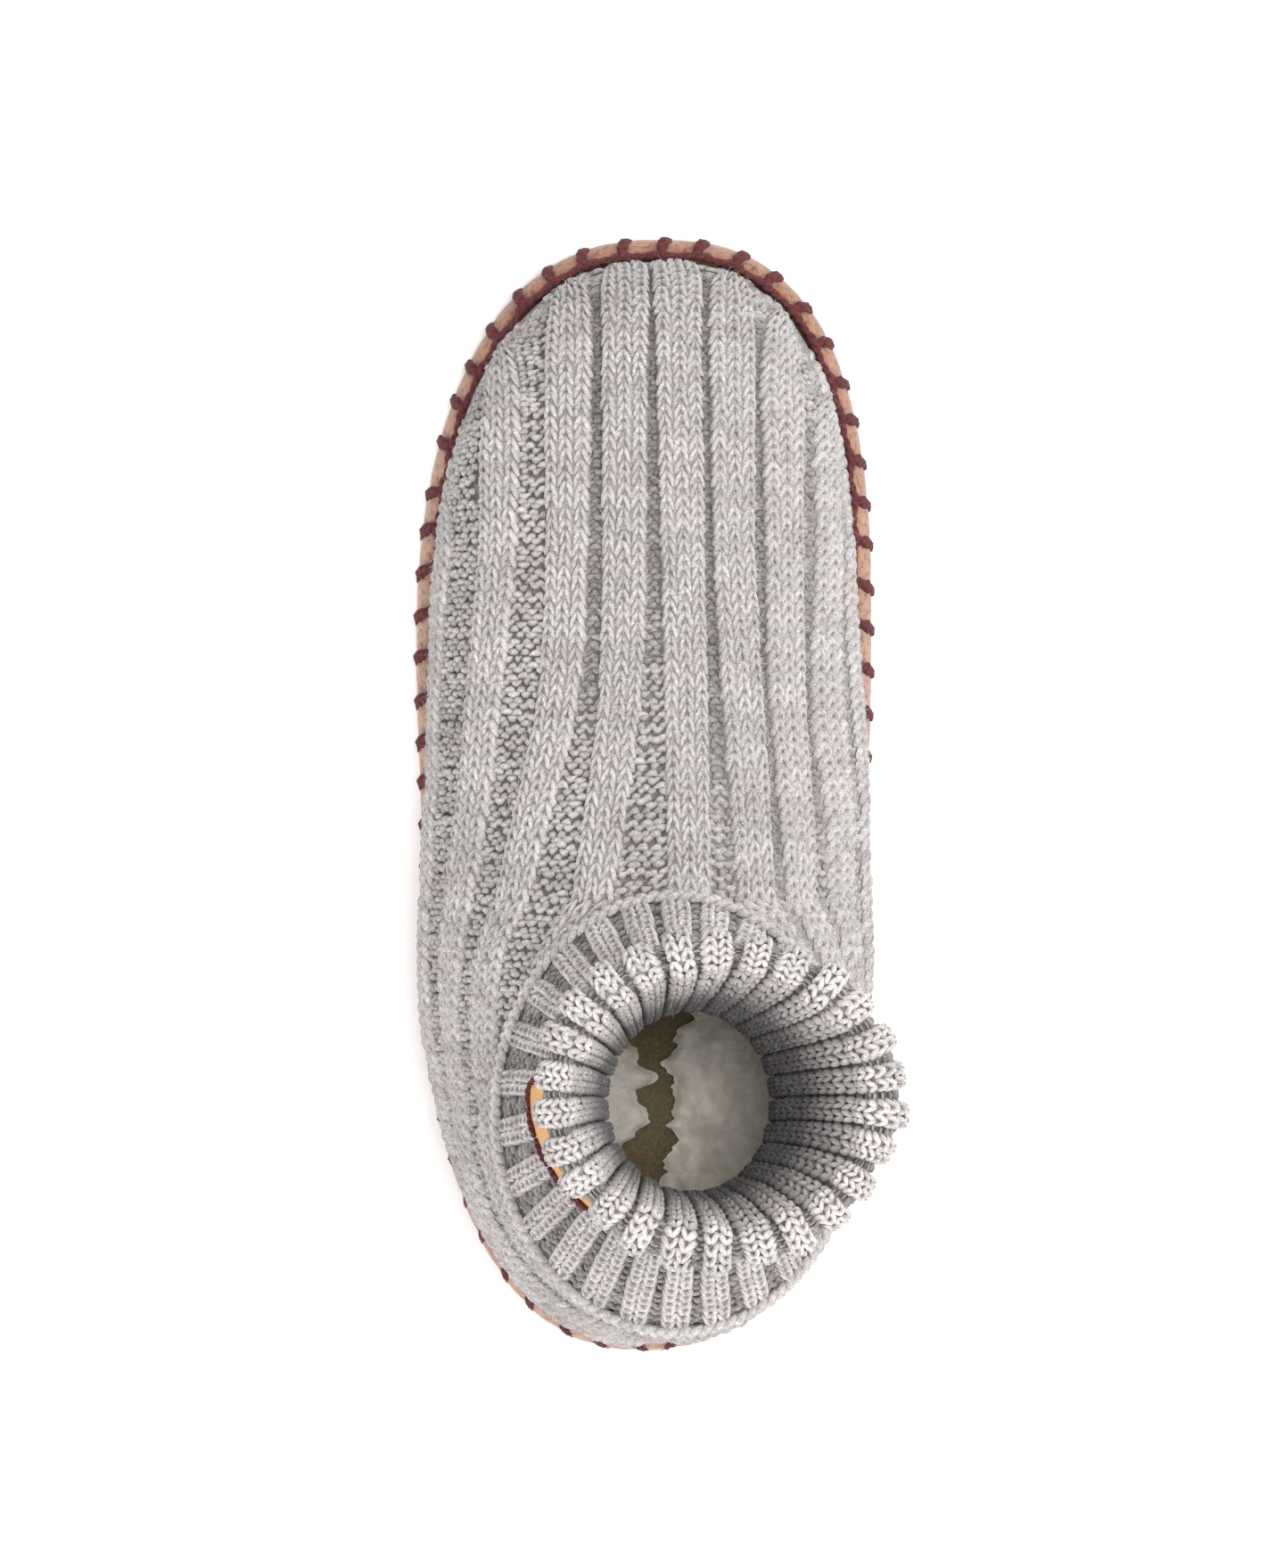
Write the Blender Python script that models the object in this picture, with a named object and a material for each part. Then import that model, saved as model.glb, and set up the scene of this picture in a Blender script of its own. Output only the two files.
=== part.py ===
"""Knit bootie slipper for the left foot: suede sole, felt insole, knit upper, ribbed cuff and leather patch.

Lengths are in millimetres and become metres when a mesh is made. +Y points to the toe, +X to the wearer's
right, +Z up, and the origin lies on the floor under the middle of the sole.
"""

import math

import bmesh
import bpy
import numpy as np

MM = 0.001
GAP = 0.3
MERGE_DISTANCE = 0.005
SHARP_ANGLE_DEG = 45


def table(columns, *rows):
    """A short table: its columns by name, each as an array with one value for each row."""
    return {name: np.array(values, float) for name, values in zip(columns.split(), zip(*rows))}


# Sole outline: the half-width at the ball and the waist, closed by a rounded toe and a rounded heel
HALF_LENGTH = 130.0
BALL_Y = 34.0
BALL_HALF_WIDTH = 53.7
WAIST_Y = -20.0
WAIST_HALF_WIDTH = 52.4
TOE_ROUNDNESS = 2.5
HEEL_ROUNDNESS = 2.35
TOE_SWING = 4.2
TOE_SWING_START_Y = 40.0
TOE_SWING_POWER = 1.5
TOE_SPRING = 3.0
TOE_SPRING_START_Y = 85.0

# Section through the suede tray, from the flat bottom round the turned-up rim to the inside floor
SOLE_SECTION = table(
    "inset height",
    (6.0, 0.0),
    (3.0, 0.35),
    (1.1, 1.6),
    (0.1, 4.0),
    (0.5, 6.6),
    (1.9, 9.2),
    (3.0, 10.2),
    (4.0, 9.6),
    (2.7, 6.9),
    (2.2, 4.4),
    (3.2, 2.7),
    (5.2, 2.1),
    (7.0, 2.0),
)
SOLE_FLOOR = 2.0
SOLE_STATIONS = 44

# Upper: a knit wall with its fleece pile, tucked inside the rim and rising to the ridge and the collar
WALL = 4.8
RIM_TOP = 10.4
TUCK_INSET = 4.4
TUCK_BOTTOM = SOLE_FLOOR + 2 * GAP
RIDGE_X = 7.1
RIDGE_TOE_X = 5.0
TOE_CAP_START_Y = 52.0
TOE_CAP_ROUNDNESS = 2.3
TIP_FADE_PACE = 2.0
RIDGE_DROP = 1.12
ARCH = table(
    "y rise side_fullness top_fullness bulge",
    (-72.0, 72.0, 0.60, 0.62, 10.0),
    (-58.0, 75.0, 0.60, 0.62, 10.0),
    (-45.0, 76.0, 0.60, 0.62, 9.5),
    (-32.0, 73.5, 0.60, 0.62, 9.2),
    (-22.7, 68.5, 0.60, 0.62, 8.8),
    (5.0, 53.5, 0.60, 0.66, 7.0),
    (34.0, 44.5, 0.60, 0.70, 3.0),
    (60.0, 40.0, 0.60, 0.70, 1.0),
    (95.0, 35.5, 0.58, 0.66, 0.0),
    (130.0, 33.0, 0.56, 0.60, 0.0),
)
FRONT_STATIONS = 22

# Collar: the loop where the upper ends and the cuff is sewn on; it stands to the right of the sole's middle
COLLAR_X = RIDGE_X
COLLAR_Y = -71.2
COLLAR_HALF_WIDTH = 39.5
COLLAR_HALF_LENGTH = 48.5
COLLAR_BACK_HEIGHT = 62.0
COLLAR_BACK_DROP = 0.2
RIGHT_EXTRA_RISE = 40.0
RIGHT_EXTRA_FULLNESS = 0.1
RIGHT_EXTRA_BULGE = 4.0
HEEL_LEAVE = (5.0, 20.0)
HEEL_ARRIVE = (4.0, 14.0)
FLANK_STATIONS = 10
REAR_STATIONS = 12
PROFILE_ROWS = 12
CUT_STEPS = 40
RIM_SAMPLES = 200

# Cuff: loops from the collar through the pinched neck to the flared, folded rim
CUFF_HEIGHT = 143.0
CUFF_LOOPS = table(
    "share climb centre_x centre_y half_width half_length",
    (0.00, 0.00, COLLAR_X, COLLAR_Y, COLLAR_HALF_WIDTH, COLLAR_HALF_LENGTH),
    (0.26, 0.21, 8.2, -69.0, 31.5, 37.0),
    (0.52, 0.48, 9.8, -66.4, 22.4, 24.8),
    (0.78, 0.78, 12.8, -64.4, 29.5, 28.5),
    (1.00, 1.00, 15.6, -63.5, 38.6, 35.5),
)
CUFF_ROWS = 12
FOLD_ROWS = 4

# Felt insole and the leather patch on the outer side of the cuff
INSOLE_THICKNESS = 3.0
INSOLE_EDGE = 0.8
PATCH_THICKNESS = 1.8
PATCH_AZIMUTH_DEG = 207.0
PATCH_HALF_SWEEP_DEG = 36.0
PATCH_SHARE = 0.455
PATCH_TILT = 0.09
PATCH_HALF_SHARE = 0.11
PATCH_CORNER_CUT = 0.28
PATCH_CORNER_POWER = 6
PATCH_COLUMNS = 16
PATCH_ROWS = 6


def smooth(at, places, values):
    """A smooth curve through the rows: cubic spans whose slopes are those of the neighbouring rows."""
    at = np.clip(np.asarray(at, float), places[0], places[-1])
    slopes = np.gradient(values, places)
    row = np.clip(np.searchsorted(places, at, side="right") - 1, 0, len(places) - 2)
    span = places[row + 1] - places[row]
    t = (at - places[row]) / span
    start = (1 + 2 * t) * (1 - t) ** 2 * values[row] + t * (1 - t) ** 2 * span * slopes[row]
    end = t * t * (3 - 2 * t) * values[row + 1] - t * t * (1 - t) * span * slopes[row + 1]
    return start + end


def rounded(t, power):
    """One at t = 0, falling to zero at t = 1 along a superellipse of this power."""
    return (1 - np.clip(t, 0, 1) ** power) ** (1 / power)


def ease(t):
    """Zero to one with level ends."""
    t = np.clip(t, 0, 1)
    return t * t * (3 - 2 * t)


def middle_x(y):
    """The outline's middle line, which swings towards the big toe."""
    reach = np.clip((y - TOE_SWING_START_Y) / (HALF_LENGTH - TOE_SWING_START_Y), 0, 1)
    return TOE_SWING * reach**TOE_SWING_POWER


def half_width(y, inset):
    """Half the outline's width at y, for the outline drawn in by inset all round."""
    y = np.asarray(y, float)
    waist = ease((BALL_Y - y) / (BALL_Y - WAIST_Y))
    width = BALL_HALF_WIDTH + (WAIST_HALF_WIDTH - BALL_HALF_WIDTH) * waist - inset
    toe = rounded((y - BALL_Y) / (HALF_LENGTH - inset - BALL_Y), TOE_ROUNDNESS)
    heel = rounded((WAIST_Y - y) / (HALF_LENGTH - inset + WAIST_Y), HEEL_ROUNDNESS)
    return width * toe * heel


def toe_spring(y):
    """How far the toe is lifted off the floor at y."""
    reach = np.clip((y - TOE_SPRING_START_Y) / (HALF_LENGTH - TOE_SPRING_START_Y), 0, 1)
    return TOE_SPRING * reach**2


def outline_pair(inset, height):
    """The outline's left and right edges from toe to heel, as two rows of points at one height."""
    y = (HALF_LENGTH - inset) * np.cos(np.linspace(0, math.pi, SOLE_STATIONS + 1))
    x = half_width(y, inset)
    z = np.full_like(y, height)
    return np.stack([middle_x(y) - x, y, z], 1), np.stack([middle_x(y) + x, y, z], 1)


def collar_front_y(inset):
    return COLLAR_Y + COLLAR_HALF_LENGTH - inset


def vectors(x, y, z):
    """Points from their three coordinates, one row each."""
    return np.stack(np.broadcast_arrays(x, y, z), -1).astype(float)


def curve(handles, t):
    """Points of cubic curves with these four handles each, at t from 0 to 1."""
    t = np.asarray(t, float)[..., None]
    first, second, third, last = (handles[..., k, :] for k in range(4))
    return (1 - t) ** 3 * first + 3 * t * (1 - t) ** 2 * second + 3 * t * t * (1 - t) * third + t**3 * last


def arch_handles(y, side, inset):
    """Handles of the half arch across the foot at y, from the rim up to the top line."""
    shape = {name: smooth(y, ARCH["y"], ARCH[name]) for name in ARCH}
    tip, front = HALF_LENGTH - TUCK_INSET - inset, collar_front_y(inset)
    behind = np.clip((front - y) / COLLAR_HALF_LENGTH, 0, None) ** 2 * (side > 0)
    cap = rounded((y - TOE_CAP_START_Y) / (tip - TOE_CAP_START_Y), TOE_CAP_ROUNDNESS)
    rise = (shape["rise"] + RIGHT_EXTRA_RISE * behind - RIDGE_DROP * inset) * cap
    tip_fade = rounded((y - BALL_Y) / (tip - BALL_Y), TOE_ROUNDNESS)
    ridge_x = RIDGE_X + (RIDGE_TOE_X - RIDGE_X) * ease((y - front) / (tip - front))
    top_x = middle_x(y) + (ridge_x - middle_x(y)) * ease(TIP_FADE_PACE * tip_fade)
    rim_x = middle_x(y) + side * half_width(y, TUCK_INSET + inset)
    fullness = shape["side_fullness"] + RIGHT_EXTRA_FULLNESS * behind
    bulge = (shape["bulge"] + RIGHT_EXTRA_BULGE * behind) * tip_fade
    rim = vectors(rim_x, y, RIM_TOP)
    leave = vectors(rim_x + side * bulge, y, RIM_TOP + fullness * rise)
    arrive = vectors(top_x + shape["top_fullness"] * (rim_x - top_x), y, RIM_TOP + rise)
    return np.stack([rim, leave, arrive, vectors(top_x, y, RIM_TOP + rise)], -2)


def cut_at_collar(handles, reach):
    """The lower part of each arch, up to where it comes within reach of the collar's middle plane."""
    t = np.linspace(0, 1, CUT_STEPS + 1)
    spread = abs(curve(handles[:, None], t[None, :])[..., 0] - COLLAR_X)
    low, high = t[np.argmax(spread, axis=1)], np.ones(len(handles))
    for _ in range(CUT_STEPS):
        middle = (low + high) / 2
        wide = abs(curve(handles, middle)[:, 0] - COLLAR_X) > reach
        low, high = np.where(wide, middle, low), np.where(wide, high, middle)
    share = high[:, None]
    first, second, third, last = (handles[:, k] for k in range(4))
    one, two, three = (a + (b - a) * share for a, b in ((first, second), (second, third), (third, last)))
    upper_one, upper_two = one + (two - one) * share, two + (three - two) * share
    return np.stack([first, one, upper_one, upper_one + (upper_two - upper_one) * share], 1)


def heel_rim(share, side, inset):
    """Points on the rim from beside the collar's middle round to the back of the heel."""
    tip = TUCK_INSET + inset - HALF_LENGTH
    y = COLLAR_Y + (tip - COLLAR_Y) * np.sin(np.linspace(0, math.pi / 2, RIM_SAMPLES))
    x = half_width(y, TUCK_INSET + inset)
    along = np.concatenate([[0], np.cumsum(np.hypot(np.diff(x), np.diff(y)))])
    place = along[-1] * share
    return vectors(side * np.interp(place, along, x), np.interp(place, along, y), RIM_TOP)


def wall_handles(place, side, inset):
    """Handles of the upper's profiles: place 0 to 1 is toe to collar front, to 2 collar side, to 3 heel."""
    place = np.asarray(place, float)
    tip, front = HALF_LENGTH - TUCK_INSET - inset, collar_front_y(inset)
    turn = math.pi / 2 * np.clip(place - 1, 0, 2)
    reach = (COLLAR_HALF_WIDTH - inset) * np.sin(turn)
    y_foot = front + (tip - front) * np.cos(math.pi / 2 * np.clip(place, 0, 1))
    y_flank = COLLAR_Y + (COLLAR_HALF_LENGTH - inset) * np.cos(np.minimum(turn, math.pi / 2))
    arch = arch_handles(np.where(place <= 1, y_foot, y_flank), side, inset)
    handles = np.where((place <= 1)[:, None, None], arch, cut_at_collar(arch, reach))
    widest = np.array([COLLAR_HALF_WIDTH - inset])
    beside = cut_at_collar(arch_handles(np.array([COLLAR_Y]), side, inset), widest)[0]
    share = np.clip(place - 2, 0, 1)
    blend = ease(share)[:, None]
    angle = math.pi / 2 * share
    out = vectors(side * np.cos(angle), -np.sin(angle), 0)
    rim = heel_rim(share, side, inset)
    back_height = COLLAR_BACK_HEIGHT - COLLAR_BACK_DROP * inset
    height = beside[3, 2] + (back_height - beside[3, 2]) * blend[:, 0]
    top = vectors(COLLAR_X + side * reach, COLLAR_Y + (COLLAR_HALF_LENGTH - inset) * np.cos(turn), height)
    leave_side = side * (beside[1, 0] - beside[0, 0]), beside[1, 2] - beside[0, 2]
    arrive_side = side * (beside[2, 0] - beside[3, 0]), beside[3, 2] - beside[2, 2]
    leave = np.array(leave_side) + (np.array(HEEL_LEAVE) - leave_side) * blend
    arrive = np.array(arrive_side) + (np.array(HEEL_ARRIVE) - arrive_side) * blend
    up = np.array([0, 0, 1])
    fan = np.stack([rim, rim + leave[:, :1] * out + leave[:, 1:] * up,
                    top + arrive[:, :1] * out - arrive[:, 1:] * up, top], 1)
    return np.where((place <= 2)[:, None, None], handles, fan)


def collar_places():
    """Places of the sections that end at the collar, from its front to its back."""
    flank = np.linspace(1, 2, FLANK_STATIONS + 1)
    return np.concatenate([flank, np.linspace(2, 3, REAR_STATIONS + 1)[1:]])


def upper_half(side, inset):
    """One side of the upper's form: a grid of points, a row for each section from the toe to the heel."""
    front = np.linspace(0, 1, FRONT_STATIONS + 1)[:-1]
    handles = wall_handles(np.concatenate([front, collar_places()]), side, inset)
    rise = curve(handles[:, None], np.linspace(0, 1, PROFILE_ROWS)[None, :])
    tuck = handles[:, :1] * (1, 1, 0) + (0, 0, TUCK_BOTTOM)
    return np.concatenate([tuck, rise], 1)


def collar(azimuth, inset):
    """Points of the collar loop at these azimuths, counted from the right over the front."""
    turned = np.mod(azimuth + math.pi / 2, 2 * math.pi) - math.pi
    sides = [wall_handles(1 + abs(turned) / (math.pi / 2), side, inset)[:, 3] for side in (1, -1)]
    return np.where((turned < 0)[:, None], sides[0], sides[1])


def cuff_points(azimuth, share, inset):
    """Points of the cuff's form: loops of these azimuths, at these shares of the way from collar to rim."""
    azimuth, share = np.broadcast_arrays(azimuth, share)
    size = {name: smooth(share, CUFF_LOOPS["share"], CUFF_LOOPS[name]) for name in CUFF_LOOPS}
    x = size["centre_x"] + (size["half_width"] - inset) * np.cos(azimuth)
    y = size["centre_y"] + (size["half_length"] - inset) * np.sin(azimuth)
    seam = collar(azimuth.ravel(), max(inset, 0.0))[:, 2].reshape(azimuth.shape) + GAP
    return vectors(x, y, seam + (CUFF_HEIGHT - seam) * size["climb"])


def grid_faces(rows, columns, wrap=False):
    """Corner numbers of the quads of a grid of points, its columns closed into a loop if wrap is set."""
    row, column = np.meshgrid(np.arange(rows - 1), np.arange(columns - (not wrap)), indexing="ij")
    right = (column + 1) % columns
    here, above = row * columns, (row + 1) * columns
    return np.stack([here + column, here + right, above + right, above + column], -1).reshape(-1, 4)


class Shell:
    """Collects grids of points into one closed mesh."""

    def __init__(self):
        self.points, self.faces, self.count = [], [], 0

    def grid(self, points, wrap=False):
        """Adds a grid of points, rows by columns, with its quads."""
        rows, columns = points.shape[:2]
        self.faces.append(grid_faces(rows, columns, wrap) + self.count)
        self.points.append(points.reshape(-1, 3))
        self.count += rows * columns

    def finish(self, name, material):
        """Makes the object: points that meet are merged, and faces turned outwards."""
        points = np.vstack(self.points)
        points = points + np.stack([0 * points[:, 0], 0 * points[:, 0], toe_spring(points[:, 1])], 1)
        mesh = bpy.data.meshes.new(name)
        mesh.from_pydata((points * MM).tolist(), [], np.vstack(self.faces).tolist())
        shape = bmesh.new()
        shape.from_mesh(mesh)
        bmesh.ops.remove_doubles(shape, verts=shape.verts, dist=MERGE_DISTANCE * MM)
        bmesh.ops.dissolve_degenerate(shape, edges=shape.edges, dist=MERGE_DISTANCE * MM)
        bmesh.ops.recalc_face_normals(shape, faces=shape.faces)
        shape.to_mesh(mesh)
        shape.free()
        mesh.shade_smooth()
        mesh.set_sharp_from_angle(angle=math.radians(SHARP_ANGLE_DEG))
        mesh.materials.append(material)
        made = bpy.data.objects.new(name, mesh)
        bpy.context.scene.collection.objects.link(made)
        return made


def material(name, colour, roughness):
    made = bpy.data.materials.new(name)
    made.use_nodes = True
    shader = made.node_tree.nodes["Principled BSDF"]
    shader.inputs["Base Color"].default_value = (*colour, 1)
    shader.inputs["Roughness"].default_value = roughness
    shader.inputs["Metallic"].default_value = 0
    return made


def outline_shell(section):
    """Outline rings carried through a section of insets and heights; the first and last are closed across."""
    rings = [outline_pair(inset, height) for inset, height in section]
    shell = Shell()
    for side in (0, 1):
        shell.grid(np.array([ring[side] for ring in rings]))
    for closed_ring in (rings[0], rings[-1]):
        shell.grid(np.array(closed_ring))
    return shell


def make_sole():
    """The suede tray, from its flat bottom round the turned-up rim to its floor."""
    shell = outline_shell(zip(SOLE_SECTION["inset"], SOLE_SECTION["height"]))
    return shell.finish("sole", material("suede", (0.54, 0.31, 0.18), 0.9))


def make_insole():
    """A flat felt sheet that lies inside the upper on the sole's floor."""
    inset = TUCK_INSET + WALL + GAP
    bottom = SOLE_FLOOR + GAP
    top = bottom + INSOLE_THICKNESS
    shell = outline_shell(((inset, bottom), (inset, top - INSOLE_EDGE), (inset + INSOLE_EDGE, top)))
    return shell.finish("insole", material("felt", (0.09, 0.07, 0.035), 0.95))


def make_upper():
    """The hollow knit upper: the form and the form drawn in by the wall, joined at rim and collar."""
    shell = Shell()
    for side in (-1, 1):
        outer, inner = upper_half(side, 0.0), upper_half(side, WALL)
        shell.grid(outer)
        shell.grid(inner)
        shell.grid(np.stack([outer[:, 0], inner[:, 0]], 1))
        shell.grid(np.stack([outer[FRONT_STATIONS:, -1], inner[FRONT_STATIONS:, -1]], 1))
    return shell.finish("upper", material("grey_knit", (0.50, 0.48, 0.46), 0.95))


def make_cuff():
    """The ribbed cuff: outer wall up to the rim, over a round fold and down the inner wall to the collar."""
    turn = math.pi / 2 * (collar_places() - 1)
    azimuth = math.pi / 2 + np.concatenate([turn[:-1], -turn[:0:-1]])[None, :]
    share = np.linspace(0, 1, CUFF_ROWS + 1)[:, None]
    outer, inner = cuff_points(azimuth, share, 0.0), cuff_points(azimuth, share, WALL)
    roll = np.linspace(0, math.pi, FOLD_ROWS + 1)[1:-1, None, None]
    middle, across = (outer[-1] + inner[-1]) / 2, (outer[-1] - inner[-1]) / 2
    fold = middle + across * np.cos(roll) + np.array([0, 0, WALL / 2]) * np.sin(roll)
    shell = Shell()
    shell.grid(np.concatenate([outer, fold, inner[::-1], outer[:1]]), wrap=True)
    return shell.finish("cuff", material("grey_rib_knit", (0.46, 0.44, 0.43), 0.95))


def make_patch():
    """The leather patch: a slab between two larger copies of the cuff's form, tilted, with cut corners."""
    across = np.linspace(-1, 1, PATCH_COLUMNS + 1)[None, :]
    corner = 1 - PATCH_CORNER_CUT * abs(across) ** PATCH_CORNER_POWER
    up = np.linspace(-1, 1, PATCH_ROWS + 1)[:, None] * corner
    azimuth = np.radians(PATCH_AZIMUTH_DEG + PATCH_HALF_SWEEP_DEG * across)
    share = PATCH_SHARE + PATCH_TILT * across + PATCH_HALF_SHARE * up
    inner, outer = (cuff_points(azimuth, share, -out) for out in (2 * GAP, 2 * GAP + PATCH_THICKNESS))
    shell = Shell()
    shell.grid(outer)
    shell.grid(inner)
    for edge in (np.s_[0], np.s_[-1], np.s_[:, 0], np.s_[:, -1]):
        shell.grid(np.stack([outer[edge], inner[edge]], 1))
    return shell.finish("side_patch", material("tan_leather", (0.62, 0.33, 0.13), 0.7))


def main():
    for old in list(bpy.data.objects):
        bpy.data.objects.remove(old)
    slipper = bpy.data.objects.new("bootie_slipper", None)
    bpy.context.scene.collection.objects.link(slipper)
    for make in (make_sole, make_insole, make_upper, make_cuff, make_patch):
        make().parent = slipper


main()
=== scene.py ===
"""Knit bootie slipper for the left foot: stitches, yarn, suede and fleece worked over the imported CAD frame.

Lengths are in millimetres and become metres when a mesh is made. +Y points to the toe, +X to the wearer's
right, +Z up, and the origin lies on the floor under the middle of the sole.
"""

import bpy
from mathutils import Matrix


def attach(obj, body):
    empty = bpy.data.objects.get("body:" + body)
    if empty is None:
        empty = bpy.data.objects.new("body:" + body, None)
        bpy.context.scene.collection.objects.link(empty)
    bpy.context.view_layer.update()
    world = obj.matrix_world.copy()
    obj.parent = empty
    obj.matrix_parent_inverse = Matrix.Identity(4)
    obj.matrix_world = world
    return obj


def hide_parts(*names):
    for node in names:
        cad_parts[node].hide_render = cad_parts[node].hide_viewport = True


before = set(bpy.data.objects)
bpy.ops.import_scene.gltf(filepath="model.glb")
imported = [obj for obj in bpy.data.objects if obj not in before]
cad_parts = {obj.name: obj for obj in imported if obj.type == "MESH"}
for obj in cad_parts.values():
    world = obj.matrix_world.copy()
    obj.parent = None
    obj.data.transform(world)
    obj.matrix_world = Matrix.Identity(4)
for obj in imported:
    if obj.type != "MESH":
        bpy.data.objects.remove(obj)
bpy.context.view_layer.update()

import math
from functools import partial

import bpy
import numpy as np
from mathutils import Vector

MM = 0.001
GAP = 0.3
DRIFT_LATTICE = 64


def table(columns, *rows):
    """A short table: its columns by name, each as an array with one value for each row."""
    return {name: np.array(values, float) for name, values in zip(columns.split(), zip(*rows))}


# Form of the sole, the upper and the cuff, with the sizes of the CAD solids
HALF_LENGTH = 130.0
BALL_Y = 34.0
BALL_HALF_WIDTH = 53.7
WAIST_Y = -20.0
WAIST_HALF_WIDTH = 52.4
TOE_ROUNDNESS = 2.5
HEEL_ROUNDNESS = 2.35
TOE_SWING = 4.2
TOE_SWING_START_Y = 40.0
TOE_SWING_POWER = 1.5
TOE_SPRING = 3.0
TOE_SPRING_START_Y = 85.0
SOLE_SECTION = table(
    "inset height",
    (6.0, 0.0),
    (3.0, 0.35),
    (1.1, 1.6),
    (0.1, 4.0),
    (0.5, 6.6),
    (1.9, 9.2),
    (3.0, 10.2),
    (4.0, 9.6),
    (2.7, 6.9),
    (2.2, 4.4),
    (3.2, 2.7),
    (5.2, 2.1),
    (7.0, 2.0),
)
WALL = 4.8
RIM_TOP = 10.4
TUCK_INSET = 4.4
RIDGE_X = 7.1
RIDGE_TOE_X = 5.0
TOE_CAP_START_Y = 52.0
TOE_CAP_ROUNDNESS = 2.3
TIP_FADE_PACE = 2.0
RIDGE_DROP = 1.12
ARCH = table(
    "y rise side_fullness top_fullness bulge",
    (-72.0, 72.0, 0.60, 0.62, 10.0),
    (-58.0, 75.0, 0.60, 0.62, 10.0),
    (-45.0, 76.0, 0.60, 0.62, 9.5),
    (-32.0, 73.5, 0.60, 0.62, 9.2),
    (-22.7, 68.5, 0.60, 0.62, 8.8),
    (5.0, 53.5, 0.60, 0.66, 7.0),
    (34.0, 44.5, 0.60, 0.70, 3.0),
    (60.0, 40.0, 0.60, 0.70, 1.0),
    (95.0, 35.5, 0.58, 0.66, 0.0),
    (130.0, 33.0, 0.56, 0.60, 0.0),
)
COLLAR_X = RIDGE_X
COLLAR_Y = -71.2
COLLAR_HALF_WIDTH = 39.5
COLLAR_HALF_LENGTH = 48.5
COLLAR_BACK_HEIGHT = 62.0
COLLAR_BACK_DROP = 0.2
RIGHT_EXTRA_RISE = 40.0
RIGHT_EXTRA_FULLNESS = 0.1
RIGHT_EXTRA_BULGE = 4.0
HEEL_LEAVE = (5.0, 20.0)
HEEL_ARRIVE = (4.0, 14.0)
CUT_STEPS = 40
RIM_SAMPLES = 200
CUFF_HEIGHT = 143.0
CUFF_LOOPS = table(
    "share climb centre_x centre_y half_width half_length",
    (0.00, 0.00, COLLAR_X, COLLAR_Y, COLLAR_HALF_WIDTH, COLLAR_HALF_LENGTH),
    (0.26, 0.21, 8.2, -69.0, 31.5, 37.0),
    (0.52, 0.48, 9.8, -66.4, 22.4, 24.8),
    (0.78, 0.78, 12.8, -64.4, 29.5, 28.5),
    (1.00, 1.00, 15.6, -63.5, 38.6, 35.5),
)
INSOLE_BOTTOM = 2.3
INSOLE_THICKNESS = 3.0
PATCH_THICKNESS = 1.8
PATCH_AZIMUTH_DEG = 207.0
PATCH_HALF_SWEEP_DEG = 36.0
PATCH_SHARE = 0.455
PATCH_TILT = 0.09
PATCH_HALF_SHARE = 0.11
PATCH_CORNER_CUT = 0.28
PATCH_CORNER_POWER = 6

# Foot knit: ribs of three wales that run from toe to heel, with purl valleys between them
WALE = 3.4
WALE_STRETCH = 1.2
COURSE = 2.68
RIB_SHARE = 1.5
CENTRE_RIB_OFFSET = 3.2
PLAIN_COURSES_UP_TO_Y = 60.0
HEEL_COURSES = 31
SKIN_COLUMNS = 49
PROFILE_SAMPLES = 61
LEFT_RIBS = table(
    "y rib1 rib2 rib3 rib4 rib5",
    (-22.7, 22.4, 43.0, 60.0, 78.0, 96.0),
    (-8.0, 19.8, 38.2, 55.0, 74.0, 91.0),
    (16.0, 16.0, 31.1, 50.1, 71.0, 86.0),
    (58.0, 13.5, 27.0, 44.1, 64.5, 78.0),
    (126.0, 13.5, 26.6, 43.1, 62.5, 77.0),
)
RIGHT_RIBS = table(
    "y rib1 rib2 rib3 rib4",
    (-22.7, 16.4, 30.2, 46.0, 63.0),
    (-8.0, 15.3, 28.3, 43.2, 59.2),
    (16.0, 13.7, 25.3, 37.5, 52.3),
    (58.0, 12.0, 24.8, 39.0, 53.0),
    (126.0, 12.0, 24.6, 38.6, 52.6),
)
LEFT_RIBS_AT_HEEL = (66.0, 51.0, 36.0, 21.0, 7.0)
RIGHT_RIBS_AT_HEEL = (51.0, 36.0, 21.0, 7.0)
RIB_TURN_END = 2.5
STRAIGHT_RIBS_FROM_Y = 58.0
SIDE_SWELL = {-1: 2.6, 1: 3.0}
SWELL_TOP_SHARE = 0.62
SWELL_START = {-1: (14.0, 24.0), 1: (75.0, 80.0)}
EARLY_SWELL = {-1: 0.52, 1: 0.38}
EARLY_SWELL_START = (110.0, 30.0)
HEEL_DRAW = {-1: (-45.0, 60.0, 1.05), 1: (-72.0, 42.0, 1.5)}
BACK_PLEAT = 1.6
BACK_PLEAT_ROWS = 2.5

# Cuff knit: ribs of two wales on a doubled tube; the outer wall runs over the fold into the inner wall
CUFF_RIBS = 26
CUFF_WALE = (3.5, 3.3, 3.5)  # at the seam, at the rim, inside
CUFF_COURSE = 2.15
CUFF_WALE_SHARE = (0.40, 0.46)  # outside, inside
CUFF_FRONT_SPREAD = -0.03
CUFF_COLUMNS_PER_RIB = 12
OUTER_RINGS = 81
FOLD_RINGS = 11
INNER_RINGS = 77
INNER_END_SHARE = 0.05
INNER_THICK_SHARE = 0.55
RIM_ROLL = 4.0
RIM_ROWS = 14
RIM_DENT = 0.9
RIM_DENT_AZIMUTH_DEG = 216.0
RIM_DENT_SPREAD_DEG = 30.0
INNER_STITCH_ROWS = 38
INNER_COURSE_STRETCH = 1.65
HEM_INSET = 1.2
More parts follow.
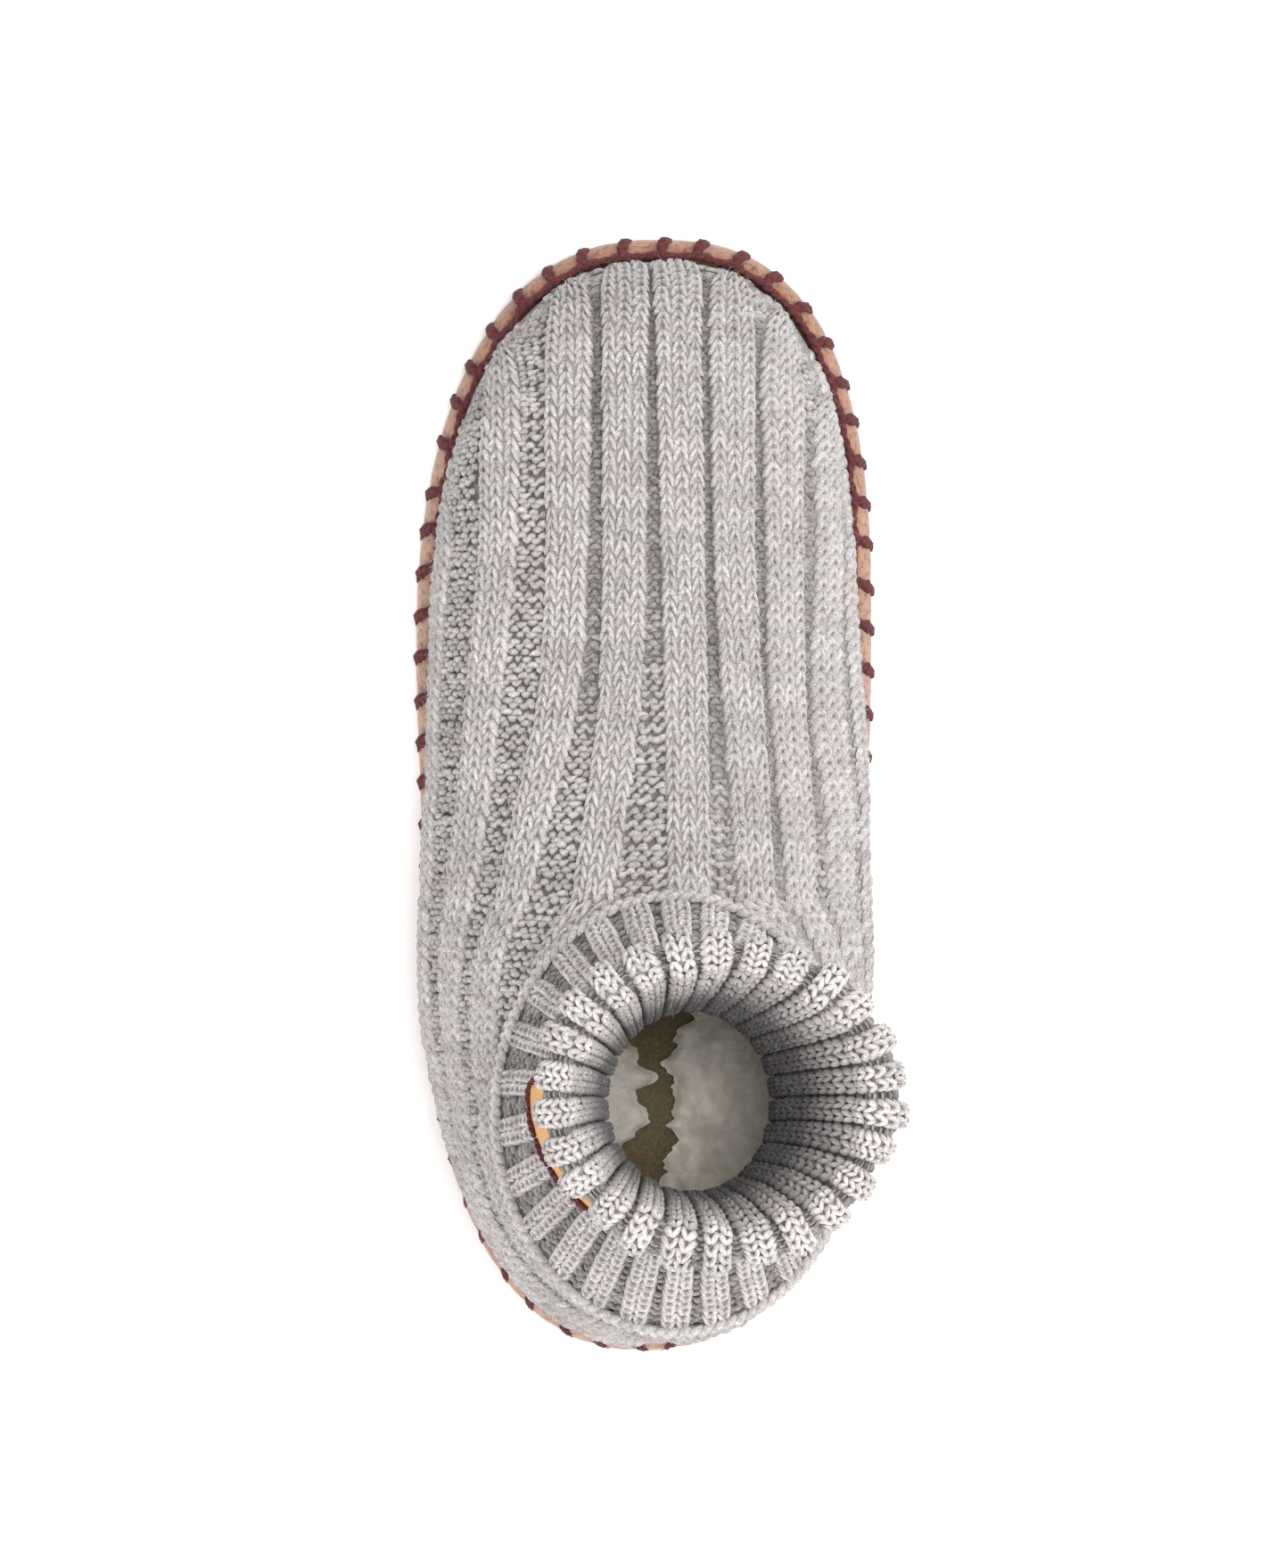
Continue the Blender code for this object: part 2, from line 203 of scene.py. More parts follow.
HEM_DEPTH = 3.5

# Blanket stitching along the sole's rim, and how far leather and knit lean in there
STITCH_PITCH = 9.85
YARN_TWIST_PITCH = 5.2
BLANKET_LEG_RADIUS = 1.12
BLANKET_LEG_LEAN = 3.2
LEFT_DRAW = 0.75
RIGHT_DRAW = 0.2
TOE_DRAW = 0.75
TOE_KNIT_DRAW = 1.6
TOE_FROM_Y = 90.0
TOE_RAMP = 35.0
HEEL_LEAN = 1.5
TOE_LEGS_FROM_Y = 80.0
TOE_SUEDE_TONE = (0.85, 0.74, 0.68)

# Yarn colours
WOOL_LIGHT = np.array([0.512, 0.489, 0.479])
WOOL_ROSE = np.array([0.512, 0.461, 0.448])
WOOL_DARK = np.array([0.260, 0.240, 0.234])


def smooth(at, places, values):
    """A smooth curve through the rows: cubic spans whose slopes are those of the neighbouring rows."""
    at = np.clip(np.asarray(at, float), places[0], places[-1])
    slopes = np.gradient(values, places)
    row = np.clip(np.searchsorted(places, at, side="right") - 1, 0, len(places) - 2)
    span = places[row + 1] - places[row]
    t = (at - places[row]) / span
    start = (1 + 2 * t) * (1 - t) ** 2 * values[row] + t * (1 - t) ** 2 * span * slopes[row]
    end = t * t * (3 - 2 * t) * values[row + 1] - t * t * (1 - t) * span * slopes[row + 1]
    return start + end


def rounded(t, power):
    """One at t = 0, falling to zero at t = 1 along a superellipse of this power."""
    return (1 - np.clip(t, 0, 1) ** power) ** (1 / power)


def ease(t):
    """Zero to one with level ends: three t squared less two t cubed."""
    t = np.clip(t, 0, 1)
    return t * t * (3 - 2 * t)


def unit(vector):
    """The vectors scaled to length one."""
    return vector / np.maximum(np.linalg.norm(vector, axis=-1, keepdims=True), 1e-9)


def drift(across, along, seed):
    """Smooth noise from -1 to 1: random values on a repeating square lattice, eased between its points."""
    size = DRIFT_LATTICE
    lattice = np.random.default_rng(seed).uniform(-1, 1, (size, size))
    across, along = np.broadcast_arrays(across, along)
    i, j = np.floor(across).astype(int), np.floor(along).astype(int)
    s, t = ease(across - i), ease(along - j)
    near = lattice[i % size, j % size] * (1 - s) + lattice[(i + 1) % size, j % size] * s
    far = lattice[i % size, (j + 1) % size] * (1 - s) + lattice[(i + 1) % size, (j + 1) % size] * s
    return near * (1 - t) + far * t


def at_toe(y):
    """How far a place at y belongs to the toe: zero behind it, eased to one over the ramp."""
    return ease((y - TOE_FROM_Y) / TOE_RAMP)


def middle_x(y):
    """The outline's middle line, which swings towards the big toe by a power of the way to the tip."""
    reach = np.clip((y - TOE_SWING_START_Y) / (HALF_LENGTH - TOE_SWING_START_Y), 0, 1)
    return TOE_SWING * reach**TOE_SWING_POWER


def half_width(y, inset):
    """Half the outline's width at y, drawn in by inset: eased ball and waist widths times two end curves."""
    y = np.asarray(y, float)
    waist = ease((BALL_Y - y) / (BALL_Y - WAIST_Y))
    width = BALL_HALF_WIDTH + (WAIST_HALF_WIDTH - BALL_HALF_WIDTH) * waist - inset
    toe = rounded((y - BALL_Y) / (HALF_LENGTH - inset - BALL_Y), TOE_ROUNDNESS)
    heel = rounded((WAIST_Y - y) / (HALF_LENGTH - inset + WAIST_Y), HEEL_ROUNDNESS)
    return width * toe * heel


def toe_spring(y):
    """How far the toe is lifted off the floor at y: the square of the way to the tip."""
    reach = np.clip((y - TOE_SPRING_START_Y) / (HALF_LENGTH - TOE_SPRING_START_Y), 0, 1)
    return TOE_SPRING * reach**2


def sprung(points):
    """The points with the toe spring added to their heights."""
    points = np.array(points, float)
    points[..., 2] += toe_spring(points[..., 1])
    return points


def vectors(x, y, z):
    """Points from their three coordinates."""
    return np.stack(np.broadcast_arrays(x, y, z), -1).astype(float)


def curve(handles, t):
    """Points of cubic curves with these four handles each, at t from 0 to 1."""
    t = np.asarray(t, float)[..., None]
    first, second, third, last = (handles[..., k, :] for k in range(4))
    return (1 - t) ** 3 * first + 3 * t * (1 - t) ** 2 * second + 3 * t * t * (1 - t) * third + t**3 * last


def collar_front_y(inset):
    """The collar's front end: its middle plus half its length, less the inset."""
    return COLLAR_Y + COLLAR_HALF_LENGTH - inset


def arch_handles(y, side, inset):
    """Handles of the half arch across the foot at y, from the rim up to the top line."""
    shape = {name: smooth(y, ARCH["y"], ARCH[name]) for name in ARCH}
    tip, front = HALF_LENGTH - TUCK_INSET - inset, collar_front_y(inset)
    behind = np.clip((front - y) / COLLAR_HALF_LENGTH, 0, None) ** 2 * (side > 0)
    cap = rounded((y - TOE_CAP_START_Y) / (tip - TOE_CAP_START_Y), TOE_CAP_ROUNDNESS)
    rise = (shape["rise"] + RIGHT_EXTRA_RISE * behind - RIDGE_DROP * inset) * cap
    tip_fade = rounded((y - BALL_Y) / (tip - BALL_Y), TOE_ROUNDNESS)
    ridge_x = RIDGE_X + (RIDGE_TOE_X - RIDGE_X) * ease((y - front) / (tip - front))
    top_x = middle_x(y) + (ridge_x - middle_x(y)) * ease(TIP_FADE_PACE * tip_fade)
    rim_x = middle_x(y) + side * half_width(y, TUCK_INSET + inset)
    fullness = shape["side_fullness"] + RIGHT_EXTRA_FULLNESS * behind
    bulge = (shape["bulge"] + RIGHT_EXTRA_BULGE * behind) * tip_fade
    rim = vectors(rim_x, y, RIM_TOP)
    leave = vectors(rim_x + side * bulge, y, RIM_TOP + fullness * rise)
    arrive = vectors(top_x + shape["top_fullness"] * (rim_x - top_x), y, RIM_TOP + rise)
    return np.stack([rim, leave, arrive, vectors(top_x, y, RIM_TOP + rise)], -2)


def cut_at_collar(handles, reach):
    """The lower part of each arch, up to where it comes within reach of the collar's middle plane."""
    t = np.linspace(0, 1, CUT_STEPS + 1)
    spread = abs(curve(handles[:, None], t[None, :])[..., 0] - COLLAR_X)
    low, high = t[np.argmax(spread, axis=1)], np.ones(len(handles))
    for _ in range(CUT_STEPS):
        middle = (low + high) / 2
        wide = abs(curve(handles, middle)[:, 0] - COLLAR_X) > reach
        low, high = np.where(wide, middle, low), np.where(wide, high, middle)
    share = high[:, None]
    first, second, third, last = (handles[:, k] for k in range(4))
    one, two, three = (a + (b - a) * share for a, b in ((first, second), (second, third), (third, last)))
    upper_one, upper_two = one + (two - one) * share, two + (three - two) * share
    return np.stack([first, one, upper_one, upper_one + (upper_two - upper_one) * share], 1)


def heel_rim(share, side, inset):
    """Points on the rim from beside the collar's middle round to the heel's back, by length along it."""
    tip = TUCK_INSET + inset - HALF_LENGTH
    y = COLLAR_Y + (tip - COLLAR_Y) * np.sin(np.linspace(0, math.pi / 2, RIM_SAMPLES))
    x = half_width(y, TUCK_INSET + inset)
    along = np.concatenate([[0], np.cumsum(np.hypot(np.diff(x), np.diff(y)))])
    place = along[-1] * share
    return vectors(side * np.interp(place, along, x), np.interp(place, along, y), RIM_TOP)


def wall_handles(place, side, inset):
    """Handles of the upper's profiles: place 0 to 1 is toe to collar front, to 2 collar side, to 3 heel."""
    place = np.asarray(place, float)
    tip, front = HALF_LENGTH - TUCK_INSET - inset, collar_front_y(inset)
    turn = math.pi / 2 * np.clip(place - 1, 0, 2)
    reach = (COLLAR_HALF_WIDTH - inset) * np.sin(turn)
    y_foot = front + (tip - front) * np.cos(math.pi / 2 * np.clip(place, 0, 1))
    y_flank = COLLAR_Y + (COLLAR_HALF_LENGTH - inset) * np.cos(np.minimum(turn, math.pi / 2))
    arch = arch_handles(np.where(place <= 1, y_foot, y_flank), side, inset)
    handles = np.where((place <= 1)[:, None, None], arch, cut_at_collar(arch, reach))
    widest = np.array([COLLAR_HALF_WIDTH - inset])
    beside = cut_at_collar(arch_handles(np.array([COLLAR_Y]), side, inset), widest)[0]
    share = np.clip(place - 2, 0, 1)
    blend = ease(share)[:, None]
    angle = math.pi / 2 * share
    out = vectors(side * np.cos(angle), -np.sin(angle), 0)
    rim = heel_rim(share, side, inset)
    back_height = COLLAR_BACK_HEIGHT - COLLAR_BACK_DROP * inset
    height = beside[3, 2] + (back_height - beside[3, 2]) * blend[:, 0]
    top = vectors(COLLAR_X + side * reach, COLLAR_Y + (COLLAR_HALF_LENGTH - inset) * np.cos(turn), height)
    leave_side = side * (beside[1, 0] - beside[0, 0]), beside[1, 2] - beside[0, 2]
    arrive_side = side * (beside[2, 0] - beside[3, 0]), beside[3, 2] - beside[2, 2]
    leave = np.array(leave_side) + (np.array(HEEL_LEAVE) - leave_side) * blend
    arrive = np.array(arrive_side) + (np.array(HEEL_ARRIVE) - arrive_side) * blend
    up = np.array([0, 0, 1])
    fan = np.stack([rim, rim + leave[:, :1] * out + leave[:, 1:] * up,
                    top + arrive[:, :1] * out - arrive[:, 1:] * up, top], 1)
    return np.where((place <= 2)[:, None, None], handles, fan)


def collar(azimuth, inset):
    """Points of the collar loop at these azimuths, counted from the right over the front."""
    turned = np.mod(azimuth + math.pi / 2, 2 * math.pi) - math.pi
    sides = [wall_handles(1 + abs(turned) / (math.pi / 2), side, inset)[:, 3] for side in (1, -1)]
    return np.where((turned < 0)[:, None], sides[0], sides[1])


def cuff_points(azimuth, share, inset):
    """Points of the cuff's form: elliptic loops of these azimuths, at these shares from collar to rim."""
    azimuth, share = np.broadcast_arrays(azimuth, share)
    size = {name: smooth(share, CUFF_LOOPS["share"], CUFF_LOOPS[name]) for name in CUFF_LOOPS}
    x = size["centre_x"] + (size["half_width"] - inset) * np.cos(azimuth)
    y = size["centre_y"] + (size["half_length"] - inset) * np.sin(azimuth)
    loop = np.linspace(0, 2 * math.pi, 361)
    heights = collar(loop, max(inset, 0.0))[:, 2]
    seam = np.interp(np.mod(azimuth, 2 * math.pi), loop, heights) + GAP
    return vectors(x, y, seam + (CUFF_HEIGHT - seam) * size["climb"])


def grid_faces(rows, columns, wrap=False):
    """Corner numbers of the quads of a grid of points, its columns closed into a loop if wrap is set."""
    row, column = np.meshgrid(np.arange(rows - 1), np.arange(columns - (not wrap)), indexing="ij")
    right = (column + 1) % columns
    here, above = row * columns, (row + 1) * columns
    return np.stack([here + column, here + right, above + right, above + column], -1).reshape(-1, 4)


class Batch:
    """Grids of points gathered for one mesh, each with a yarn colour and a place in the piece's UV map."""

    def __init__(self):
        """Starts with no points, faces, tones or places."""
        self.points = []
        self.faces = []
        self.tones = []
        self.places = []
        self.count = 0

    def add(self, points, tone=(1, 1, 1), place=None, wrap=False, turn=False):
        """Adds grids of points, shaped grids by rows by columns by 3; turn reverses the faces.

        The tone may be one colour, one for each grid, or one for each point.
        """
        points = np.asarray(points, float)
        if points.ndim == 3:
            points = points[None]
        grids, rows, columns = points.shape[:3]
        faces = grid_faces(rows, columns, wrap)
        faces = faces[:, ::-1] if turn else faces
        starts = self.count + rows * columns * np.arange(grids)
        self.faces.append((starts[:, None, None] + faces[None]).reshape(-1, 4))
        self.points.append(points.reshape(-1, 3))
        tone = np.asarray(tone, float)
        tone = tone.reshape(tone.shape[:-1] + (1,) * (4 - tone.ndim) + (3,))
        self.tones.append(np.broadcast_to(tone, points.shape).reshape(-1, 3))
        place = np.zeros(2) if place is None else np.asarray(place, float)
        self.places.append(np.broadcast_to(place, points.shape[:3] + (2,)).reshape(-1, 2))
        self.count += grids * rows * columns

    def make(self, name, material, slot=None, *stands_for):
        """The mesh as an object that rides on the slipper's body; the slot argument is not used."""
        points, faces = np.vstack(self.points), np.vstack(self.faces)
        mesh = bpy.data.meshes.new(name)
        mesh.vertices.add(len(points))
        mesh.vertices.foreach_set("co", (points * MM).astype(np.float32).ravel())
        mesh.loops.add(faces.size)
        mesh.polygons.add(len(faces))
        mesh.polygons.foreach_set("loop_start", np.arange(0, faces.size, 4, dtype=np.int32))
        mesh.polygons.foreach_set("vertices", faces.astype(np.int32).ravel())
        mesh.update(calc_edges=True)
        mesh.validate()
        tones = np.concatenate([np.vstack(self.tones), np.ones((len(points), 1))], 1)
        mesh.attributes.new("tone", "FLOAT_COLOR", "POINT").data.foreach_set(
            "color", tones.astype(np.float32).ravel())
        corner = np.zeros(len(mesh.loops), np.int32)
        mesh.loops.foreach_get("vertex_index", corner)
        mesh.uv_layers.new(name="yarn").data.foreach_set(
            "uv", np.vstack(self.places)[corner].astype(np.float32).ravel())
        mesh.shade_smooth()
        mesh.materials.append(material)
        made = bpy.data.objects.new(name, mesh)
        bpy.context.scene.collection.objects.link(made)
        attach(made, "root")
        if stands_for:
            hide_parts(*stands_for)
        return made


def blend_table(values, row, column, wrap=False):
    """Values between the points of a table: the weighted mean of the four points around each place."""
    rows, columns = values.shape[:2]
    row = np.clip(row, 0, rows - 1.001)
    column = np.mod(column, columns) if wrap else np.clip(column, 0, columns - 1.001)
    i, j = row.astype(int), np.minimum(column.astype(int), columns - 1)
    s, t = (row - i), (column - j)
    if values.ndim == 3:
        s, t = s[..., None], t[..., None]
    k = (j + 1) % columns
    return (values[i, j] * (1 - t) + values[i, k] * t) * (1 - s) + (
        values[i + 1, j] * (1 - t) + values[i + 1, k] * t) * s


class Foot:
    """The upper's outer form as a table for each side: rows are half courses, columns shares of the arc."""

    def __init__(self):
        """Makes each side's points, normals and profile lengths, then the rib lines on them."""
        self.places, self.front_rows = self.row_places()
        self.rows = len(self.places)
        self.row = np.arange(self.rows)
        self.points, self.normals, self.spans = {}, {}, {}
        for side in (-1, 1):
            self.points[side], self.spans[side] = self.form(side, 0.0)
            self.normals[side] = self.facing(side)
            self.points[side] = self.points[side] + self.normals[side] * self.swell(side)[..., None]
        self.lines = {-1: self.rib_lines(-1, LEFT_RIBS, LEFT_RIBS_AT_HEEL, -CENTRE_RIB_OFFSET),
                      1: self.rib_lines(1, RIGHT_RIBS, RIGHT_RIBS_AT_HEEL, CENTRE_RIB_OFFSET)}

    def row_places(self):
        """Half courses: even lengths of the ridge at the toe, even steps behind it, a fan at the heel."""
        tip, front = HALF_LENGTH - TUCK_INSET, collar_front_y(0.0)
        y = front + (tip - front) * np.cos(np.linspace(0.02, math.pi / 2, 800))
        ridge = sprung(arch_handles(y, 1, 0.0)[:, 3])
        slope = abs(np.gradient(ridge[:, 2], y))
        stretch = 1 + (np.hypot(1, slope) - 1) * ease((y - PLAIN_COURSES_UP_TO_Y) / 30)
        steps = abs(np.diff(y)) * (stretch[1:] + stretch[:-1]) / 2
        along = np.concatenate([[0], np.cumsum(steps)])
        count = round(along[-1] / (COURSE / 2))
        y_rows = np.interp(np.linspace(0, along[-1], count + 1), along, y)
        foot = 2 / math.pi * np.arccos(np.clip((y_rows - front) / (tip - front), -1, 1))
        flank_rows = round(COLLAR_HALF_LENGTH / (COURSE / 2))
        flank = 1 + 2 / math.pi * np.arccos(np.linspace(1, 0, flank_rows + 1)[1:])
        heel = np.linspace(2, 3, 2 * HEEL_COURSES + 1)[1:]
        return np.concatenate([foot, flank, heel]), count

    def form(self, side, inset):
        """Points at even shares of each profile's length, and the lengths."""
        fine = sprung(curve(wall_handles(self.places, side, inset)[:, None],
                            np.linspace(0, 1, PROFILE_SAMPLES)[None, :]))
        steps = np.linalg.norm(np.diff(fine, axis=1), axis=-1)
        along = np.concatenate([np.zeros((self.rows, 1)), np.cumsum(steps, axis=1)], 1)
        length = np.maximum(along[:, -1:], 1e-6)
        order = self.row[:, None] + along / length * (1 - 1e-9)
        want = self.row[:, None] + np.linspace(0, 1 - 1e-9, SKIN_COLUMNS)[None, :]
        axes = [np.interp(want.ravel(), order.ravel(), fine[..., k].ravel()) for k in range(3)]
        return np.stack(axes, -1).reshape(self.rows, SKIN_COLUMNS, 3), length[:, 0]

    def swell(self, side):
        """How far the soft knit hangs out over the rim: a squared sine low on the profile.

        It starts as a small share behind the toe, eases to the whole along the side, and turns inwards at
        the heel. A pleat down the back sinks it by a bell curve of the rows, and the toe is drawn in.
        """
        share = np.linspace(0, 1, SKIN_COLUMNS)[None, :]
        low = np.sin(math.pi * np.clip(share / SWELL_TOP_SHARE, 0, 1)) ** 2
        y = self.points[side][:, :1, 1]
        early_from, early_ramp = EARLY_SWELL_START
        front, slope = SWELL_START[side]
        start, length, turn = HEEL_DRAW[side]
        early = EARLY_SWELL[side] * ease((early_from - y) / early_ramp)
        back = np.maximum(ease((front - y) / slope), early) * (1 - turn * ease((start - y) / length))
        pleat = BACK_PLEAT * np.exp(-((self.rows - 1 - self.row[:, None]) / BACK_PLEAT_ROWS) ** 2)
        drawn = pleat * np.sin(math.pi * share) ** 0.5
        return SIDE_SWELL[side] * low * back - drawn - TOE_KNIT_DRAW * at_toe(y)

    def facing(self, side):
        """Outward normals: the cross product of the steps across and along the table."""
        along, across = np.gradient(self.points[side], axis=0), np.gradient(self.points[side], axis=1)
        normal = side * np.cross(across, along)
        normal[0] = normal[1]
        return unit(normal)

    def rib_lines(self, side, ribs, at_heel, offset):
        """Heights above the rim, along the profile, of the rib centres at each row.

        They keep their distance from the centre rib along the profile; over the toe they keep it in plan.
        """
        y = self.points[side][:, 0, 1]
        turn = ease((self.places - 1) / (RIB_TURN_END - 1))
        straight = int(np.argmin(abs(y[: self.front_rows] - STRAIGHT_RIBS_FROM_Y)))
        lines = []
        for name, heel in zip(list(ribs)[1:], at_heel):
            front = self.spans[side] - smooth(y, ribs["y"], ribs[name]) - offset
            share = front[straight] / self.spans[side][[straight]]
            start, _ = self.on_side(side, np.array([float(straight)]), share)
            front[:straight] = self.rise_at_x(side, start[0, 0])[:straight]
            held = front[self.front_rows]
            lines.append(np.where(self.places <= 1, front, held + (heel - held) * turn))
        return np.array(lines)

    def rise_at_x(self, side, x):
        """Heights above the rim, at each row, where the form crosses this x; below the rim they go on."""
        away = side * (self.points[side][..., 0] - x)
        inside = np.cumprod(away > 0, axis=1).sum(axis=1)
        column = np.clip(inside, 1, SKIN_COLUMNS - 1)
        before, after = away[self.row, column - 1], away[self.row, column]
        share = (column - 1 + before / np.maximum(before - after, 1e-6)) / (SKIN_COLUMNS - 1)
        beyond = np.minimum(away[:, 0], 0)
        return np.where(inside > 0, np.clip(share, 0, 1) * self.spans[side], beyond)

    def span(self, side, row):
        """Length of the profile from the rim to the top line or the collar, between rows in proportion."""
        return np.interp(row, self.row, self.spans[side])

    def at(self, side, row, rise):
        """Points and normals at these rows and heights above the rim; past the ridge, on the other side."""
        span = self.span(side, row)
        other = self.span(-side, row)
        over = ((rise > span) & (row < self.front_rows))[..., None]
        point, normal = self.on_side(side, row, rise / np.maximum(span, 1e-6))
        far_point, far_normal = self.on_side(-side, row, (other - (rise - span)) / np.maximum(other, 1e-6))
        point = np.where(over, far_point, point)
        point[..., 2] += np.minimum(rise, 0)
        return point, unit(np.where(over, far_normal, normal))

    def on_side(self, side, row, share):
        """Points and normals of one side's table at these rows and shares of the profile."""
        column = np.clip(share, 0, 1) * (SKIN_COLUMNS - 1)
        return blend_table(self.points[side], row, column), blend_table(self.normals[side], row, column)

    def line(self, side, rib, row):
        """A rib's height above the rim at these rows; rib -1 is the centre rib."""
        centre = self.spans[side] - side * CENTRE_RIB_OFFSET
        lines = np.vstack([self.lines[side], centre])
        row = np.clip(row, 0, self.rows - 1.001)
        i = row.astype(int)
        return lines[rib, i] * (1 - (row - i)) + lines[rib, i + 1] * (row - i)

    def wale(self, side, rib, row):
        """Width of a rib's wales at these rows; over the toe it grows with the slope."""
        point, normal = self.at(side, row, np.maximum(self.line(side, rib, row), 0))
        most = 1 + (WALE_STRETCH - 1) * ease((point[..., 1] - STRAIGHT_RIBS_FROM_Y) / 40)
        return WALE * np.clip(1 / np.maximum(normal[..., 2], 0.1), 1, most)


class Cuff:
    """The cuff's sheet as a table: rows are half courses from the seam over the fold and down inside."""

    def __init__(self):
        """Samples the doubled sheet at even half courses, longer ones inside, and works out the rib pitch."""
        columns = CUFF_RIBS * CUFF_COLUMNS_PER_RIB
        turn = 2 * math.pi * np.arange(columns) / columns
        self.azimuth = turn - CUFF_FRONT_SPREAD * np.cos(turn)
        sheet = self.doubled_sheet()
        fold_start = OUTER_RINGS
        fold_end = OUTER_RINGS + FOLD_RINGS + 1
        steps = np.linalg.norm(np.diff(sheet, axis=0), axis=-1).mean(axis=1)
        steps[fold_end:] /= INNER_COURSE_STRETCH
        along = np.concatenate([[0], np.cumsum(steps)])
        self.rows = round(along[-1] / (CUFF_COURSE / 2)) + 1
        self.rim_row = (along[fold_start] + along[fold_end]) / 2 / along[-1] * (self.rows - 1)
        self.deep_row = int(self.rim_row) + INNER_STITCH_ROWS
        places = np.interp(np.linspace(0, along[-1], self.rows), along, np.arange(len(along)))
        self.points = blend_table(sheet, np.repeat(places[:, None], columns, 1),
                                  np.repeat(np.arange(columns)[None, :], self.rows, 0).astype(float), True)
        self.normals = self.facing()
        self.ripple(turn)
        self.normals = self.facing()
        step = np.linalg.norm(np.roll(self.points, -1, 1) - np.roll(self.points, 1, 1), axis=-1) / 2
        self.pitch = step * CUFF_COLUMNS_PER_RIB

    def doubled_sheet(self):
        """Rings of points: the hem, the outer wall, a half ellipse over the rim and the inner wall."""
        azimuth = self.azimuth[None, :]
        outer = cuff_points(azimuth, np.linspace(0, 1, OUTER_RINGS)[:, None], 0.0)
        hem = cuff_points(azimuth, 0.0, HEM_INSET)[None, 0] - (0, 0, HEM_DEPTH)
        fall = np.linspace(1, INNER_END_SHARE, INNER_RINGS)[:, None]
        inner = cuff_points(azimuth, fall, WALL)
        thick = cuff_points(azimuth, fall, WALL + RIM_ROLL)
        near_rim = ease((fall - INNER_THICK_SHARE) / (1 - INNER_THICK_SHARE))
        inner = inner + (thick - inner) * near_rim[..., None]
        roll = np.linspace(0, math.pi, FOLD_RINGS + 2)[1:-1, None, None]
        middle, across = (outer[-1] + inner[0]) / 2, (outer[-1] - inner[0]) / 2
        crest = np.array([0, 0, (WALL + RIM_ROLL) / 2])
        fold = middle + across * np.cos(roll) + crest * np.sin(roll)
        return np.concatenate([hem, outer, fold, inner])

    def facing(self):
        """Outward normals: the cross product of the steps round and along the table."""
        along = np.gradient(self.points, axis=0)
        across = np.roll(self.points, -1, 1) - np.roll(self.points, 1, 1)
        return unit(np.cross(across, along))

    def ripple(self, turn):
        """The rim's own unevenness: slow waves round the loop, and a dent over the patch, near the fold."""
        row = np.arange(self.rows)[:, None]
        near = np.exp(-((row - self.rim_row) / RIM_ROWS) ** 2)
        waves = np.sin(3 * turn + 0.6) * 0.7 + np.sin(7 * turn + 2.1) * 0.6 + np.sin(13 * turn + 4) * 0.5
        self.points += self.normals * (near * waves)[..., None]
        self.points[..., 2] += near * (np.sin(5 * turn + 1.2) * 0.8 + np.sin(11 * turn) * 0.6)
        off = (self.azimuth - math.radians(RIM_DENT_AZIMUTH_DEG)) / math.radians(RIM_DENT_SPREAD_DEG)
        inward = vectors(-np.cos(self.azimuth), -np.sin(self.azimuth), 0)
        self.points += RIM_DENT * near[..., None] * np.exp(-(off**2))[:, None] * inward

    def at(self, row, column):
        """Points and normals at these rows and columns of the table."""
        normal = blend_table(self.normals, row, column, True)
        return blend_table(self.points, row, column, True), unit(normal)

    def rib_pitch(self, row, column):
        """Distance from one rib to the next at these rows and columns."""
        return blend_table(self.pitch, row, column, True)


# Knit stitches: a leg's length is in courses and its width in wales
LEG_RINGS = 6
LEG_SECTION = 4
LEG_START = 0.47
LEG_POINT_GAP = 0.07
LEG_OPENING = 0.33
# Painted shade in the hollow between a stitch's legs, where the next stitch comes out
LEG_HOLLOW_PAINTED_SHADE = 0.65
LEG_HOLLOW_PLACE = 0.6
LEG_HOLLOW_SPREAD = 0.15
LEG_YARN_TURNS = 4.2
FOOT_LEG = (1.42, 0.20)
FOOT_LEG_HEIGHT = 1.25
FOOT_LEG_BASE = -1.05
FOOT_RIB_ROUNDING = 1.1
FOOT_LOWEST_STITCH = -1.2
CUFF_LEG = (1.32, 0.21)
CUFF_INNER_LEG = (1.15, 0.225)
CUFF_LEG_HEIGHT = 1.2
CUFF_LEG_BASE = -0.8
CUFF_RIB_ROUNDING = (1.3, 0.7)  # outside, inside
CUFF_RIB_BELLY = 0.8
CUFF_BELLY_ROWS = 18
# Painted light on the cuff's yarn outside, and painted shade that darkens it down the inner wall
CUFF_PAINTED_LIGHT_AND_SHADE = (1.19, 0.25)  # painted light outside, painted shade inside


